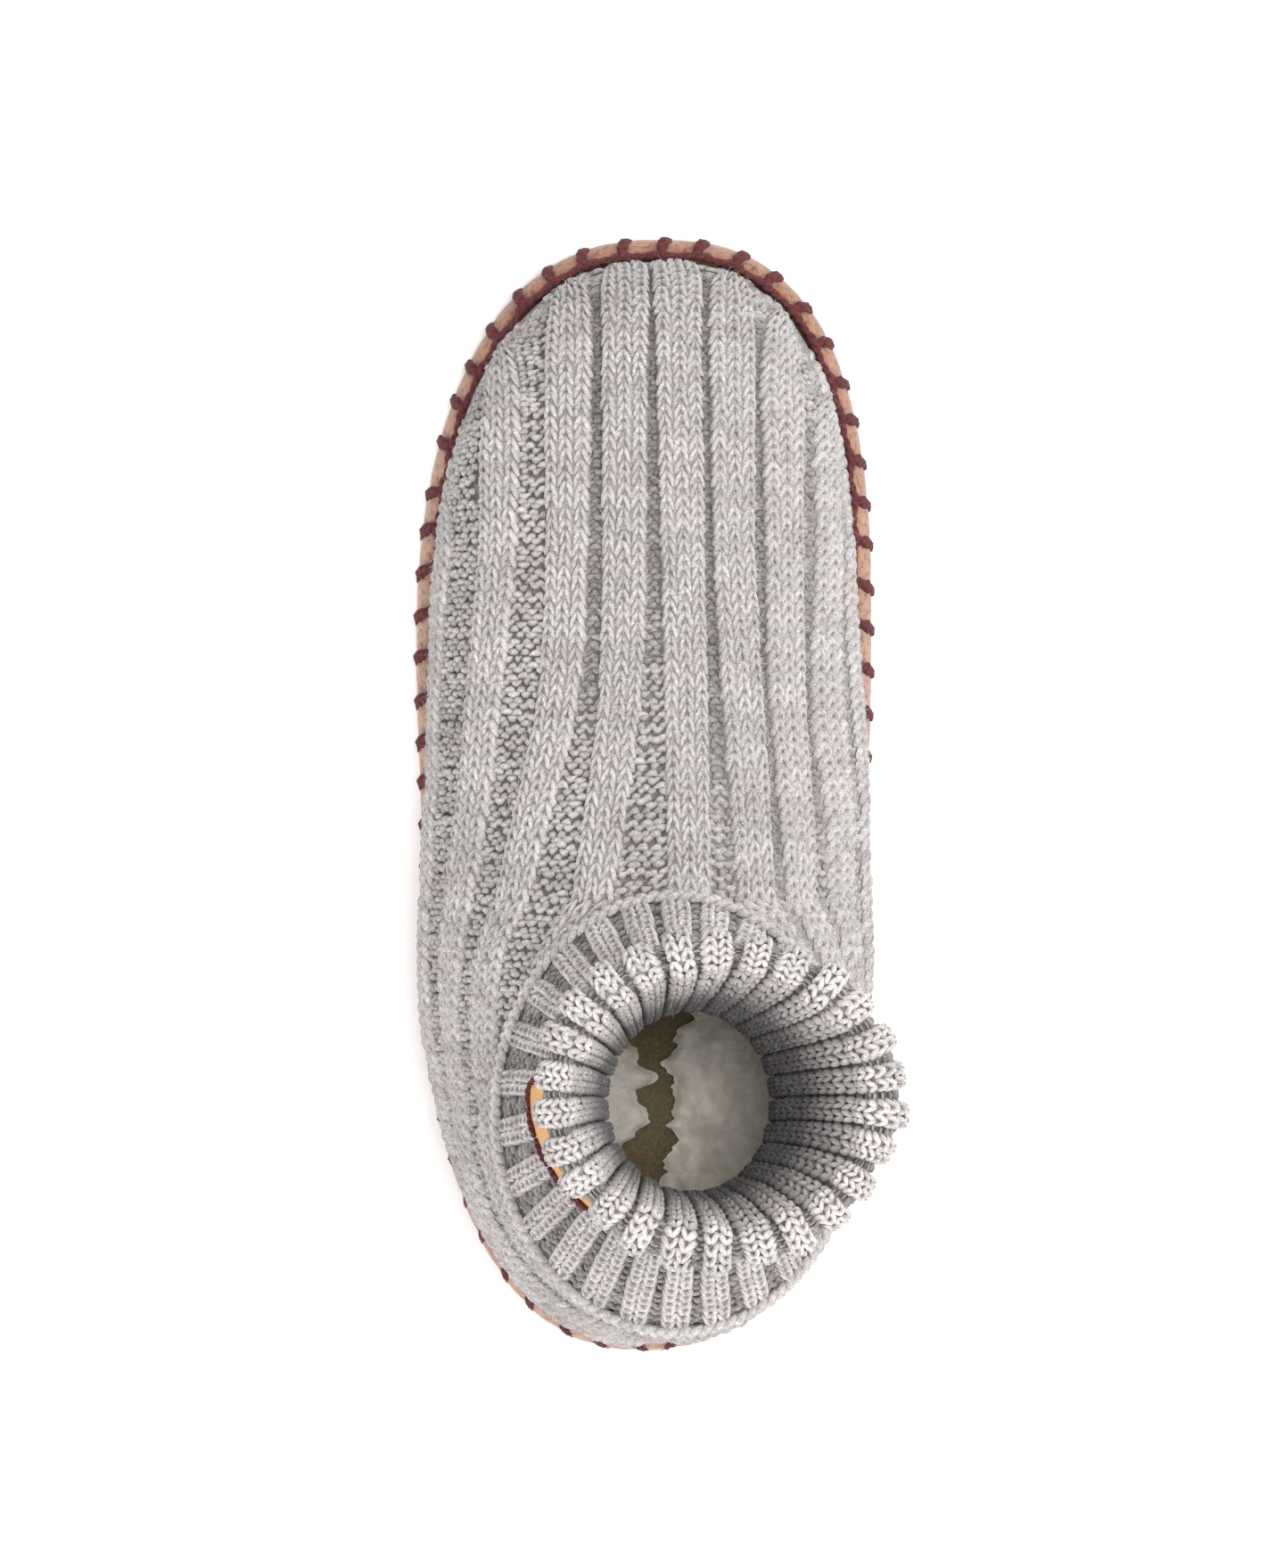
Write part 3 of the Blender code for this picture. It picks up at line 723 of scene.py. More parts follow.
def leg_shape(length, width):
    """A knit stitch's two legs as offsets: along in courses, across in wales, height, shade, UV places.

    A leg starts at the point of the V, under the stitch before, and eases outwards. Its width and height
    follow sine arches, so both ends round off and dive. Its section is half an ellipse, with painted shade:
    a little darker at its foot and its ends, and darkest on the inner side past the middle, where the next
    stitch comes out.
    """
    s = np.linspace(0, 1, LEG_RINGS)[None, :, None]
    turn = np.linspace(0, math.pi, LEG_SECTION)[None, None, :]
    hand = np.array([-1.0, 1.0])[:, None, None]
    wide = np.sin(math.pi * (0.08 + 0.84 * s)) ** 0.4
    arch = np.sin(math.pi * (0.04 + 0.92 * s)) ** 0.6
    along = LEG_START - length * s + 0 * turn + 0 * hand
    across = hand * (LEG_POINT_GAP + LEG_OPENING * ease(0.08 + 0.84 * s)) + width * wide * np.cos(turn)
    height = arch * (0.1 + 0.9 * np.sin(turn)) + 0 * hand
    inner = np.clip(-hand * np.cos(turn), 0, 1)
    # Painted shade: darker at the section's foot and the leg's ends, darkest in the hollow
    shade = (0.86 + 0.14 * np.sin(turn)) * (0.66 + 0.34 * arch)
    hollow = np.exp(-((s - LEG_HOLLOW_PLACE) / LEG_HOLLOW_SPREAD) ** 2)
    shade = shade * (1 - LEG_HOLLOW_PAINTED_SHADE * inner * hollow)
    place = np.stack(np.broadcast_arrays(s * LEG_YARN_TURNS, hand + np.cos(turn) * 0.6), -1)
    return along, across, height, shade, place


def yarn_tone(course, across, random):
    """Mixed-grey yarn: light wool that drifts to rose and to dark along each course, and varies by stitch."""
    rose = np.clip(0.35 + 0.9 * drift(course * 0.71, across / 13, 11), 0, 1)[..., None]
    dark = np.clip(0.04 + 0.4 * drift(course * 0.53 + 20, across / 9, 12), 0, 0.26)[..., None]
    tone = WOOL_LIGHT + (WOOL_ROSE - WOOL_LIGHT) * rose
    tone = tone + (WOOL_DARK - tone) * dark
    return tone * (1 + 0.10 * random[..., None])


def spread(values):
    """Adds three axes for a stitch's legs, rings and section."""
    return np.asarray(values)[:, None, None, None]


def leg_batch(points, tone, shade, place, turn):
    """A batch of stitches, each with two legs; turn reverses their faces."""
    batch = Batch()
    shape = (len(points) * 2, LEG_RINGS, LEG_SECTION)
    points = points.reshape(shape + (3,))
    tone = (tone[:, None, None, None, :] * shade[..., None]).reshape(shape + (3,))
    batch.add(points, tone, place.reshape(shape + (2,)), turn=turn)
    return batch


def foot_stitches(foot, side, seed):
    """Knit stitches on one side's ribs: a pair of legs for each wale and course, along the rib lines.

    A rib's crown falls off by the square of the way past its outer wales.
    """
    random = np.random.default_rng(seed)
    ribs = np.arange(len(foot.lines[side]))
    ribs = np.append(ribs, -1) if side > 0 else ribs
    rib, wale, course = (a.ravel() for a in np.meshgrid(
        ribs, [-1, 0, 1], np.arange(1, foot.rows // 2), indexing="ij"))
    row = 2.0 * course
    width = foot.wale(side, rib, row)
    rise = foot.line(side, rib, row) + wale * width
    span = foot.span(side, row)
    front = row < foot.front_rows - 0.5
    keep = (rise > FOOT_LOWEST_STITCH) & np.where(rib < 0, front, front | (rise < span - 1.0))
    rib, wale, course, row, rise, width = (a[keep] for a in (rib, wale, course, row, rise, width))
    n = len(rib)
    along, across, height, shade, place = (a[None] for a in leg_shape(*FOOT_LEG))
    nudge = random.normal(0, 1, (4, n))
    legs_row = spread(row + 0.18 * nudge[0]) - 2 * along
    sideways = spread(wale * width + 0.13 * nudge[1]) + across * spread(width * (1 + 0.09 * nudge[2]))
    legs_rise = foot.line(side, np.broadcast_to(spread(rib), legs_row.shape), legs_row) + sideways
    crown = -FOOT_RIB_ROUNDING * np.clip((abs(sideways) / spread(width) - 0.97) / 0.55, 0, 1.3) ** 2
    lift = FOOT_LEG_BASE + FOOT_LEG_HEIGHT * height * spread(1 + 0.13 * nudge[3]) + crown
    point, normal = foot.at(side, *np.broadcast_arrays(legs_row, legs_rise))
    tone = yarn_tone(course, rise + side * 200, random.normal(0, 1, n).clip(-2, 2) * 0.55)
    shift = np.stack([random.uniform(0, 50, n), random.uniform(0, 50, n)], -1)[:, None, None, None, :]
    return leg_batch(point + normal * lift[..., None], tone, shade, place + shift, side > 0)


# Purl valleys: bumps across them, and the ground under them
PURL_PITCH = 1.35
PURL_MOST_STEPS = 6
PURL_RINGS = 5
PURL_SECTION = 4
PURL_HEIGHT = 1.15
FOOT_PURL_THICKNESS = 0.64
CUFF_PURL_THICKNESS = 0.42
LOWEST_PURL = -0.5
VALLEY_DEPTH = -3.2
VALLEY_RIM_SHARE = 0.15
VALLEY_FULL_RISE = 6.0
RIM_PURL_SINK = 0.6
WIDE_VALLEY = 1.6
WIDE_VALLEY_RISE = 1.1
WIDE_VALLEY_SHARE = {-1: 1.0, 1: 0.35}
# Painted shade on the purl in the valleys, deepest in narrow ones
VALLEY_PAINTED_SHADE = 0.87
NARROW_VALLEY = 1.3
NARROW_VALLEY_PAINTED_SHADE = 0.52
CUFF_VALLEY_DEPTHS = (-2.0, -2.2, -2.6)  # at the seam, at the rim, inside
# Painted shade on the cuff's purl in the grooves between ribs
CUFF_VALLEY_PAINTED_SHADE = (0.60, 0.45)  # outside, inside
GROUND_COLUMNS = 80
FOOT_GROUND_SINK = -0.6
# The ground is painted darker than the yarn: painted shade in the gaps between stitches, darker again in the
# valleys
FOOT_GROUND_TONE = 1.38
FOOT_GROUND_VALLEY_PAINTED_SHADE = 0.35
CUFF_GROUND_SINK = -0.75
CUFF_GROUND_VALLEY_PAINTED_SHADE = 0.6
GROUND_TUCK_HEIGHT = 4.0


def purl_bumps(at, row, middle, room, per_mm, depth, thick, random, tone):
    """Purl bumps in a valley: short half tubes across it in staggered columns, the heads and feet of loops.

    The columns stand one pitch apart, out from the valley's middle to its room on either side. Every other
    column is shifted by half a course and bows the other way. Each bump thins to its ends like an ellipse.
    """
    steps = np.arange(-PURL_MOST_STEPS, PURL_MOST_STEPS + 1)
    pick, column = np.nonzero(abs(steps) * PURL_PITCH < room[:, None] + 0.5)
    step = steps[column]
    odd = step % 2
    jitter = random.normal(0, 1, (5, len(pick)))[..., None, None]
    t = np.linspace(-1, 1, PURL_RINGS)[None, :, None]
    turn = np.linspace(0, math.pi, PURL_SECTION)[None, None, :]
    thin = (1 - 0.85 * t**2) ** 0.5
    bow = (1 - 2 * odd)[:, None, None] * (0.4 + 0.2 * jitter[4]) * t**2
    rows = (row[pick] + odd)[:, None, None] + 0.18 * jitter[0] + bow - thick * thin * np.cos(turn)
    offset = (step * PURL_PITCH)[:, None, None] + 0.22 * jitter[1] + (1.3 + 0.2 * jitter[2]) * t + 0 * turn
    across = middle[pick][:, None, None] + offset * per_mm[pick][:, None, None]
    height = PURL_HEIGHT * thin * (0.1 + 0.9 * np.sin(turn)) * (1 + 0.2 * jitter[3])
    lift = depth[pick][:, None, None] + height
    point, normal = at(rows, across)
    # Painted shade: darker at each bump's foot and ends, with a little random tone
    shade = (0.56 + 0.38 * np.sin(turn)) * (0.75 + 0.25 * thin) * (1 + 0.08 * jitter[2])
    place = np.stack(np.broadcast_arrays(t * 1.4 + jitter[0] * 9, turn * 0.5 + 0 * t + jitter[1] * 7), -1)
    return point + normal * lift[..., None], tone[pick][:, None, None, :] * shade[..., None], place


def valley_depth(rise):
    """The valleys' depth under the form at this height above the rim: a share at the rim, eased to full."""
    return VALLEY_DEPTH * (VALLEY_RIM_SHARE + (1 - VALLEY_RIM_SHARE) * ease(rise / VALLEY_FULL_RISE))


def foot_valleys(foot, side, seed):
    """Purl bumps in the valleys between this side's ribs; in a wide valley they stand higher and carry less
    painted shade.
    """
    random = np.random.default_rng(seed)
    batch = Batch()
    count = len(foot.lines[side])
    for valley in range(count + 1):
        course = np.arange(1, foot.rows // 2)
        row = 2.0 * course
        above = np.full(len(row), valley - 1)
        high = foot.line(side, above, row) - RIB_SHARE * foot.wale(side, above, row)
        low = np.full(len(row), LOWEST_PURL)
        if valley < count:
            edge = foot.line(side, above + 1, row) + RIB_SHARE * foot.wale(side, above + 1, row)
            low = np.maximum(low, edge)
        front = row < foot.front_rows
        top = foot.span(side, row) - 0.3
        high = np.where(front, high, top if valley == 0 else np.minimum(high, top))
        keep = (high > low - 0.6) & (high > 0.3)
        course, row, high, low = course[keep], row[keep], high[keep], low[keep]
        middle, room = (high + low) / 2, np.maximum((high - low) / 2, 0.1)
        wide = WIDE_VALLEY_SHARE[side] * ease((room - WIDE_VALLEY) / WIDE_VALLEY)
        above_rim = ease(middle / VALLEY_FULL_RISE)
        depth = valley_depth(middle) + WIDE_VALLEY_RISE * wide * above_rim - RIM_PURL_SINK * (1 - above_rim)
        lighter = ease((room - NARROW_VALLEY) / WIDE_VALLEY)
        # Painted shade on the purl: darkest in narrow valleys, lighter where there is room
        shade = NARROW_VALLEY_PAINTED_SHADE + (VALLEY_PAINTED_SHADE - NARROW_VALLEY_PAINTED_SHADE) * lighter
        tone = yarn_tone(course, middle + side * 200, random.normal(0, 0.5, len(row))) * shade[:, None]
        batch.add(*purl_bumps(partial(foot.at, side), row, middle, room, np.ones(len(row)), depth,
                              FOOT_PURL_THICKNESS, random, tone), turn=side > 0)
    return batch


def foot_ground(foot):
    """The knit's ground under the stitches: the form sunk by the rib's or the valley's depth."""
    batch = Batch()
    row = np.linspace(0, foot.rows - 1, foot.rows // 2)[:, None] + np.zeros((1, GROUND_COLUMNS))
    for side in (-1, 1):
        rise = np.linspace(0, 1, GROUND_COLUMNS)[None, :] * foot.span(side, row)
        gaps = []
        for rib in (-1, *range(len(foot.lines[side]))):
            which = np.full(row.shape, rib)
            gaps.append(abs(rise - foot.line(side, which, row)) / foot.wale(side, which, row))
        gaps[0] = np.where(row < foot.front_rows, gaps[0], np.inf)
        valley = ease((np.min(gaps, axis=0) - 1.2) / 0.33)
        deepen = VALLEY_RIM_SHARE + (1 - VALLEY_RIM_SHARE) * valley
        sink = FOOT_GROUND_SINK + (valley_depth(rise) - FOOT_GROUND_SINK) * deepen
        point, normal = foot.at(side, row, rise)
        point = point + normal * sink[..., None]
        low_edge = point[:, :1]
        tuck = vectors(low_edge[..., 0], low_edge[..., 1], GROUND_TUCK_HEIGHT + toe_spring(low_edge[..., 1]))
        # Painted shade: the ground darker than the yarn, and darker again in the valleys
        tone = WOOL_DARK * (FOOT_GROUND_TONE - FOOT_GROUND_VALLEY_PAINTED_SHADE * valley)[..., None]
        place = np.stack([row, rise], -1) * 0.4
        batch.add(np.concatenate([tuck, point], 1), np.concatenate([tone[:, :1], tone], 1)[None],
                  np.concatenate([place[:, :1], place], 1), turn=side < 0)
    return batch


def inside_cuff(cuff, row, rows=10):
    """How far a row lies inside the fold: zero up to the rim, eased to one over this many rows."""
    return ease((row - cuff.rim_row) / rows)


def cuff_valley_depth(cuff, row):
    """Depth of the cuff's valleys: in proportion from seam to rim, and eased to deep inside the fold."""
    seam, rim, deep = CUFF_VALLEY_DEPTHS
    outer = seam + (rim - seam) * row / cuff.rim_row
    return outer + (deep - outer) * inside_cuff(cuff, row, 12)


def cuff_painted_light(cuff, row):
    """Painted light on the cuff's yarn: lighter outside, eased to painted shade, a darker tone, down the
    inner wall.
    """
    lit_outside, shaded_inside = CUFF_PAINTED_LIGHT_AND_SHADE
    return lit_outside + (shaded_inside - lit_outside) * inside_cuff(cuff, row - 1, 20)


def cuff_wale(cuff, row, pitch):
    """Width of one of a cuff rib's two wales: eased from the seam to the rim and again inside the fold.

    It never takes more than its share of the pitch, so that the purl keeps its room.
    """
    seam, rim, deep = CUFF_WALE
    outer_share, inner_share = CUFF_WALE_SHARE
    inside = inside_cuff(cuff, row)
    widest = seam + (rim - seam) * ease(row / cuff.rim_row) + (deep - rim) * inside
    share = outer_share + (inner_share - outer_share) * inside
    return np.minimum(widest, share * pitch)


def cuff_stitches(cuff, low_row, high_row, leg, seed):
    """Knit stitches on the cuff's ribs between two rows: a pair of legs for each wale and course.

    A rib's crown falls off by the square of the way past the middle of its wales, and near the rim the rib
    swells by a bell curve of the rows.
    """
    random = np.random.default_rng(seed)
    rib, wale, course = (a.ravel() for a in np.meshgrid(
        np.arange(CUFF_RIBS), [-0.5, 0.5], np.arange(low_row // 2, high_row // 2), indexing="ij"))
    row = 2.0 * course + 1
    column = (rib + 0.5) * CUFF_COLUMNS_PER_RIB
    n = len(rib)
    along, across, height, shade, place = (a[None] for a in leg_shape(*leg))
    nudge = random.normal(0, 1, (4, n))
    legs_row = np.clip(spread(row + 0.12 * nudge[0]) - 2 * along, 0, cuff.rows - 1.01)
    legs_row = np.broadcast_to(legs_row, (n,) + across.shape[1:])
    pitch = cuff.rib_pitch(legs_row, np.broadcast_to(spread(column), legs_row.shape))
    size = cuff_wale(cuff, legs_row, pitch)
    sideways = (spread(wale) + across + 0.03 * spread(nudge[1])) * size
    columns = spread(column) + sideways / pitch * CUFF_COLUMNS_PER_RIB
    outer_rounding, inner_rounding = CUFF_RIB_ROUNDING
    rounding = outer_rounding - (outer_rounding - inner_rounding) * inside_cuff(cuff, legs_row)
    crown = -rounding * np.clip((abs(sideways) / size - 0.55) / 0.5, 0, 1.3) ** 2
    near_rim = np.exp(-((legs_row - cuff.rim_row) / CUFF_BELLY_ROWS) ** 2)
    belly = CUFF_RIB_BELLY * near_rim * (1 - (sideways / size / 1.1) ** 2)
    lift = CUFF_LEG_BASE + CUFF_LEG_HEIGHT * height * spread(1 + 0.08 * nudge[3]) + crown + belly
    point, normal = cuff.at(legs_row, columns)
    tone = yarn_tone(course + 70, column * 0.9, random.normal(0, 1, n).clip(-2, 2) * 0.6)
    # Painted light and shade: the cuff's yarn lighter outside and darker down the inner wall
    tone = tone * cuff_painted_light(cuff, row)[:, None]
    shift = np.stack([random.uniform(0, 50, n), random.uniform(0, 50, n)], -1)[:, None, None, None, :]
    return leg_batch(point + normal * lift[..., None], tone, shade, place + shift, True)


def cuff_valleys(cuff, seed):
    """Purl bumps between the cuff's ribs, with painted shade that deepens inside the fold, and a little
    higher where there is room.
    """
    random = np.random.default_rng(seed)
    rib, course = (a.ravel() for a in np.meshgrid(
        np.arange(CUFF_RIBS), np.arange(0, cuff.deep_row // 2), indexing="ij"))
    row = 2.0 * course + 1
    column = (rib + 1.0) * CUFF_COLUMNS_PER_RIB
    pitch = cuff.rib_pitch(row, column)
    room = np.maximum(pitch / 2 - cuff_wale(cuff, row, pitch) - 0.2, 0.1)
    depth = cuff_valley_depth(cuff, row) + 0.4 * ease((room - 1.0) / 1.2)
    tone = yarn_tone(course + 70, column * 0.9, random.normal(0, 0.5, len(row))) * VALLEY_PAINTED_SHADE
    # Painted shade in the cuff's valleys, deeper inside the fold
    outer_valley_shade, inner_valley_shade = CUFF_VALLEY_PAINTED_SHADE
    valley_painted_shade = outer_valley_shade + (inner_valley_shade - outer_valley_shade) * inside_cuff(cuff, row)
    # Painted light and shade of the cuff, times the painted shade in its valleys
    tone = tone * (cuff_painted_light(cuff, row) * valley_painted_shade)[:, None]
    batch = Batch()
    batch.add(*purl_bumps(cuff.at, row, column, room, CUFF_COLUMNS_PER_RIB / pitch, depth,
                          CUFF_PURL_THICKNESS, random, tone), turn=True)
    return batch


def cuff_ground(cuff):
    """The cuff's ground under the stitches: the doubled sheet sunk by the rib's or the valley's depth."""
    columns = CUFF_RIBS * CUFF_COLUMNS_PER_RIB
    rows = cuff.rows // 2
    row = np.linspace(0, cuff.rows - 1, rows)[:, None] + np.zeros((1, columns))
    column = np.arange(columns, dtype=float)[None, :] + np.zeros((rows, 1))
    point, normal = cuff.at(row, column)
    pitch = cuff.rib_pitch(row, column)
    off = abs(np.mod(column / CUFF_COLUMNS_PER_RIB, 1) - 0.5) * pitch
    valley = ease((off - cuff_wale(cuff, row, pitch) * 0.8) / 0.9)
    sink = CUFF_GROUND_SINK + (cuff_valley_depth(cuff, row) + 0.65) * valley
    batch = Batch()
    # Painted shade: the ground darker than the yarn and darker in the valleys, times the cuff's painted light
    # and shade
    tone = WOOL_DARK * ((1 - CUFF_GROUND_VALLEY_PAINTED_SHADE * valley) * cuff_painted_light(cuff, row))[..., None]
    batch.add(point + normal * sink[..., None], tone[None], np.stack([row, column], -1) * 0.4, wrap=True)
    return batch


def along_path(path):
    """Length along a path of points at each of them: the running sum of its steps."""
    return np.concatenate([[0], np.cumsum(np.linalg.norm(np.diff(path, axis=0), axis=-1))])


def on_path(place, along, path):
    """Points of a path, or of another line with as many points, at these lengths along it."""
    return np.stack([np.interp(place, along, path[:, k]) for k in range(path.shape[1])], -1)


def leaves(path, out, pitch, length, width, height, lean, seed, closed=True):
    """Linked stitches along a path: for each pitch two leaves that lean to either side, half a pitch apart.

    A leaf's width and height follow sine arches, and its section is half an ellipse. On a path that isn't
    closed, the last leaves end before the path does.
    """
    random = np.random.default_rng(seed)
    along = along_path(path)
    count = int((along[-1] - (0 if closed else length + pitch)) / pitch)
    s = np.linspace(0, 1, LEG_RINGS)[None, :, None]
    turn = np.linspace(0, math.pi, LEG_SECTION)[None, None, :]
    batch = Batch()
    for hand in (-1, 1):
        start = (np.arange(count) + 0.25 * (1 + hand)) * pitch + random.normal(0, 0.08, count)
        wide = width * np.sin(math.pi * (0.1 + 0.8 * s)) ** 0.6
        run = start[:, None, None] + length * s + 0 * turn
        across = hand * lean * (s - 0.15) + wide * np.cos(turn) + 0 * run
        lift = height * np.sin(math.pi * (0.08 + 0.84 * s)) ** 0.7 * (0.15 + 0.85 * np.sin(turn)) + 0 * run
        run = np.mod(run, along[-1])
        point = on_path(run, along, path)
        tangent = unit(on_path(np.mod(run + 0.6, along[-1]), along, path) - point)
        normal = unit(on_path(run, along, out))
        beside = unit(np.cross(normal, tangent))
        tone = yarn_tone(np.arange(count) * 0.6, start, random.normal(0, 0.5, count))
        first = start[:, None, None]
        place = np.stack(np.broadcast_arrays(s * 4 + first, np.cos(turn) + first), -1)
        # Painted shade: darker at each leaf's foot and ends
        shade = (0.6 + 0.4 * np.sin(turn)) * (0.65 + 0.35 * np.sin(math.pi * (0.1 + 0.8 * s)))
        batch.add(point + beside * across[..., None] + normal * lift[..., None],
                  tone[:, None, None, :] * shade[..., None], place)
    return batch


def collar_seam():
    """The linked seam on the collar loop, a rope of leaning stitches half sunk between cuff and foot."""
    path = collar(np.linspace(0, 2 * math.pi, 721), 0.0)
    away = unit((path - (COLLAR_X, COLLAR_Y, 0)) * (1, 1, 0))
    out = unit(away * 0.8 + (0, 0, 0.75))
    return leaves(path + out * 0.1, out, pitch=2.7, length=3.6, width=0.9, height=1.9, lean=1.1, seed=31)


def back_seam(foot):
    """The seam down the heel's back: linked stitches on the last profile, from the collar to the rim."""
    rise = np.linspace(1, 0.02, 80) * foot.spans[1][-1]
    point, normal = foot.at(1, np.full(80, foot.rows - 1.0), rise)
    return leaves(point - normal * 0.4, normal, pitch=2.6, length=3.4, width=0.8, height=1.3, lean=1.0,
                  seed=32, closed=False)


# Sole, insole and the yarn along the rim
SIDE_FROM_X = 15
SIDE_RAMP = 25
LEFT_DRAW_FROM_Y = -75
LEFT_DRAW_RAMP = 40
TOE_DRAW_FROM_Y = 100
TOE_DRAW_RAMP = 25
OUTER_SECTION_POINTS = 7
SUEDE_STEPS_PER_STITCH = 7
SUEDE_SECTION_STEPS = 31
SUEDE_PUFF = 0.5
SUEDE_PINCH = 0.45
SUEDE_PINCH_SPREAD = 0.02
SUEDE_UNEVENNESS = 0.35
TOE_SUEDE_FROM_Y = 55
TOE_SUEDE_RAMP = 50
INSOLE_OUTLINE_POINTS = 121
INSOLE_COLUMNS = 41
INSOLE_DENTS = 0.35
BURGUNDY = np.array([0.108, 0.027, 0.030])
PLY_OFFSET = 0.55
PLY_SIDES = 6
RUN_STEPS_PER_STITCH = 13
RUN_INSET = 3.7
RUN_HEIGHT = 10.7
RUN_RADIUS = 0.52
RUN_THICKENING = 0.28
BLANKET_LEG_STEPS = 11
BLANKET_LEG_SHARES = (1.06, 0.38)
BLANKET_LEG_PROUD = 0.45
BLANKET_LEG_SINK = 1.4
HEEL_FROM_Y = -60
HEEL_RAMP = 40


def outline_path(inset, samples=1600):
    """The sole's outline drawn in by inset: a loop from the toe over the left side to the heel and back.

    Its length follows a cosine, so the points stand closer at both ends.
    """
    y = (HALF_LENGTH - inset) * np.cos(np.linspace(0, math.pi, samples))
    x = half_width(y, inset)
    left = np.stack([middle_x(y) - x, y], 1)
    right = np.stack([middle_x(y) + x, y], 1)
    return np.concatenate([left, right[-2:0:-1], left[:1]])


class Outline:
    """The sole's outline by length: places along its edge, with the direction out of the sole at each."""

    def __init__(self):
        """Measure the loop, turn its tangents outwards and share its length out among whole stitches."""
        self.loop = outline_path(0.0)
        self.along = along_path(self.loop)
        self.length = self.along[-1]
        tangent = np.roll(self.loop, -3, 0) - np.roll(self.loop, 3, 0)
        self.out = unit(np.stack([tangent[:, 1], -tangent[:, 0]], 1))
        self.legs = round(self.length / STITCH_PITCH)
        self.pitch = self.length / self.legs

    def pair(self, along, line):
        """X and y of the loop, or of its outward directions, at this length along the edge."""
        return np.moveaxis(on_path(np.mod(along, self.length), self.along, line), -1, 0)

    def rim_draw(self, along):
        """How far the rim leans in at this length along the edge: eased in on either side and at the toe."""
        x, y = self.pair(along, self.loop)
        left = LEFT_DRAW * ease((-x - SIDE_FROM_X) / SIDE_RAMP)
        left = left * ease((y - LEFT_DRAW_FROM_Y) / LEFT_DRAW_RAMP)
        sides = left + RIGHT_DRAW * ease((x - SIDE_FROM_X) / SIDE_RAMP)
        return np.maximum(sides, TOE_DRAW * ease((y - TOE_DRAW_FROM_Y) / TOE_DRAW_RAMP))

    def at(self, along, inset, height):
        """Points at this length along the edge, this far in from it and this high, with the toe's spring."""
        x, y = self.pair(along, self.loop)
        out_x, out_y = self.pair(along, self.out)
        return sprung(vectors(x - inset * out_x, y - inset * out_y, height))


def section_at(share):
    """Inset and height on the outer side of the sole's section: share 0 at the bottom, 1 at the rim's top."""
    line = np.stack([SOLE_SECTION[name][:OUTER_SECTION_POINTS] for name in ("inset", "height")], 1)
    along = along_path(line)
    return np.moveaxis(on_path(share * along[-1], along, line), -1, 0)


def sheet_within(loop, columns):
    """A sheet inside a loop that starts at the toe: straight rows from each left point to its partner."""
    half = len(loop) // 2
    left, right = loop[:half, None], loop[::-1][:half, None]
    return left + (right - left) * np.linspace(0, 1, columns)[None, :, None]


def suede_sole(outline):
    """The suede tray: its section carried round the outline and closed by a sheet below and one inside.

    The rim is full between stitches by the sine of the way from one to the next, and drawn in at each
    stitch by a bell curve.
    """
    along = np.linspace(0, outline.length, outline.legs * SUEDE_STEPS_PER_STITCH, endpoint=False)[None, :]
    place = np.arange(len(SOLE_SECTION["inset"]), dtype=float)
    fine = np.linspace(0, place[-1], SUEDE_SECTION_STEPS)
    inset, height = (smooth(fine, place, SOLE_SECTION[name])[:, None] for name in ("inset", "height"))
    stitch = along / outline.pitch
    pinch = np.exp(-(np.mod(stitch + 0.5, 1) - 0.5) ** 2 / SUEDE_PINCH_SPREAD)
    puff = SUEDE_PUFF * np.sin(math.pi * np.mod(stitch, 1)) - SUEDE_PUFF - SUEDE_PINCH * pinch
    uneven = SUEDE_UNEVENNESS * drift(along / 23, height / 6, 41)
    rim = ease((height - 2.5) / 5.0)
    drawn = inset + ease((height - 0.5) / 4) * outline.rim_draw(along) - rim * (puff + uneven) * 0.8
    wall = outline.at(along + 0 * inset, drawn, height + 0.25 * rim * puff)
    near_toe = ease((wall[..., 1:2] - TOE_SUEDE_FROM_Y) / TOE_SUEDE_RAMP)
    tone = 1 + (np.array(TOE_SUEDE_TONE) - 1) * near_toe
    batch = Batch()
    batch.add(wall, tone[None], wrap=True)
    batch.add(sheet_within(wall[0], 2))
    batch.add(sheet_within(wall[-1], 2), turn=True)
    return batch


def felt_insole():
    """A felt sheet on the sole's floor: the outline drawn in, a rounded edge and slow dents on top."""
    inset = TUCK_INSET + WALL + GAP
    top = INSOLE_BOTTOM + INSOLE_THICKNESS
    rings = []
    for drawn, height in ((0.0, INSOLE_BOTTOM), (0.0, top - 0.9), (0.25, top - 0.3), (0.9, top)):
        ring = outline_path(inset + drawn, INSOLE_OUTLINE_POINTS)[:-1]
        rings.append(vectors(ring[:, 0], ring[:, 1], height))
    across = np.linspace(-1, 1, INSOLE_COLUMNS)[None, :]
    sheet = sheet_within(rings[-1], INSOLE_COLUMNS)
    sheet[..., 2] += INSOLE_DENTS * drift(sheet[..., 0] / 9, sheet[..., 1] / 11, 51) * (1 - across**8)
    batch = Batch()
    batch.add(sprung(sheet), turn=True)
    batch.add(sprung(np.array(rings)), wrap=True)
    batch.add(sprung(sheet_within(rings[0], 2)))
    return batch


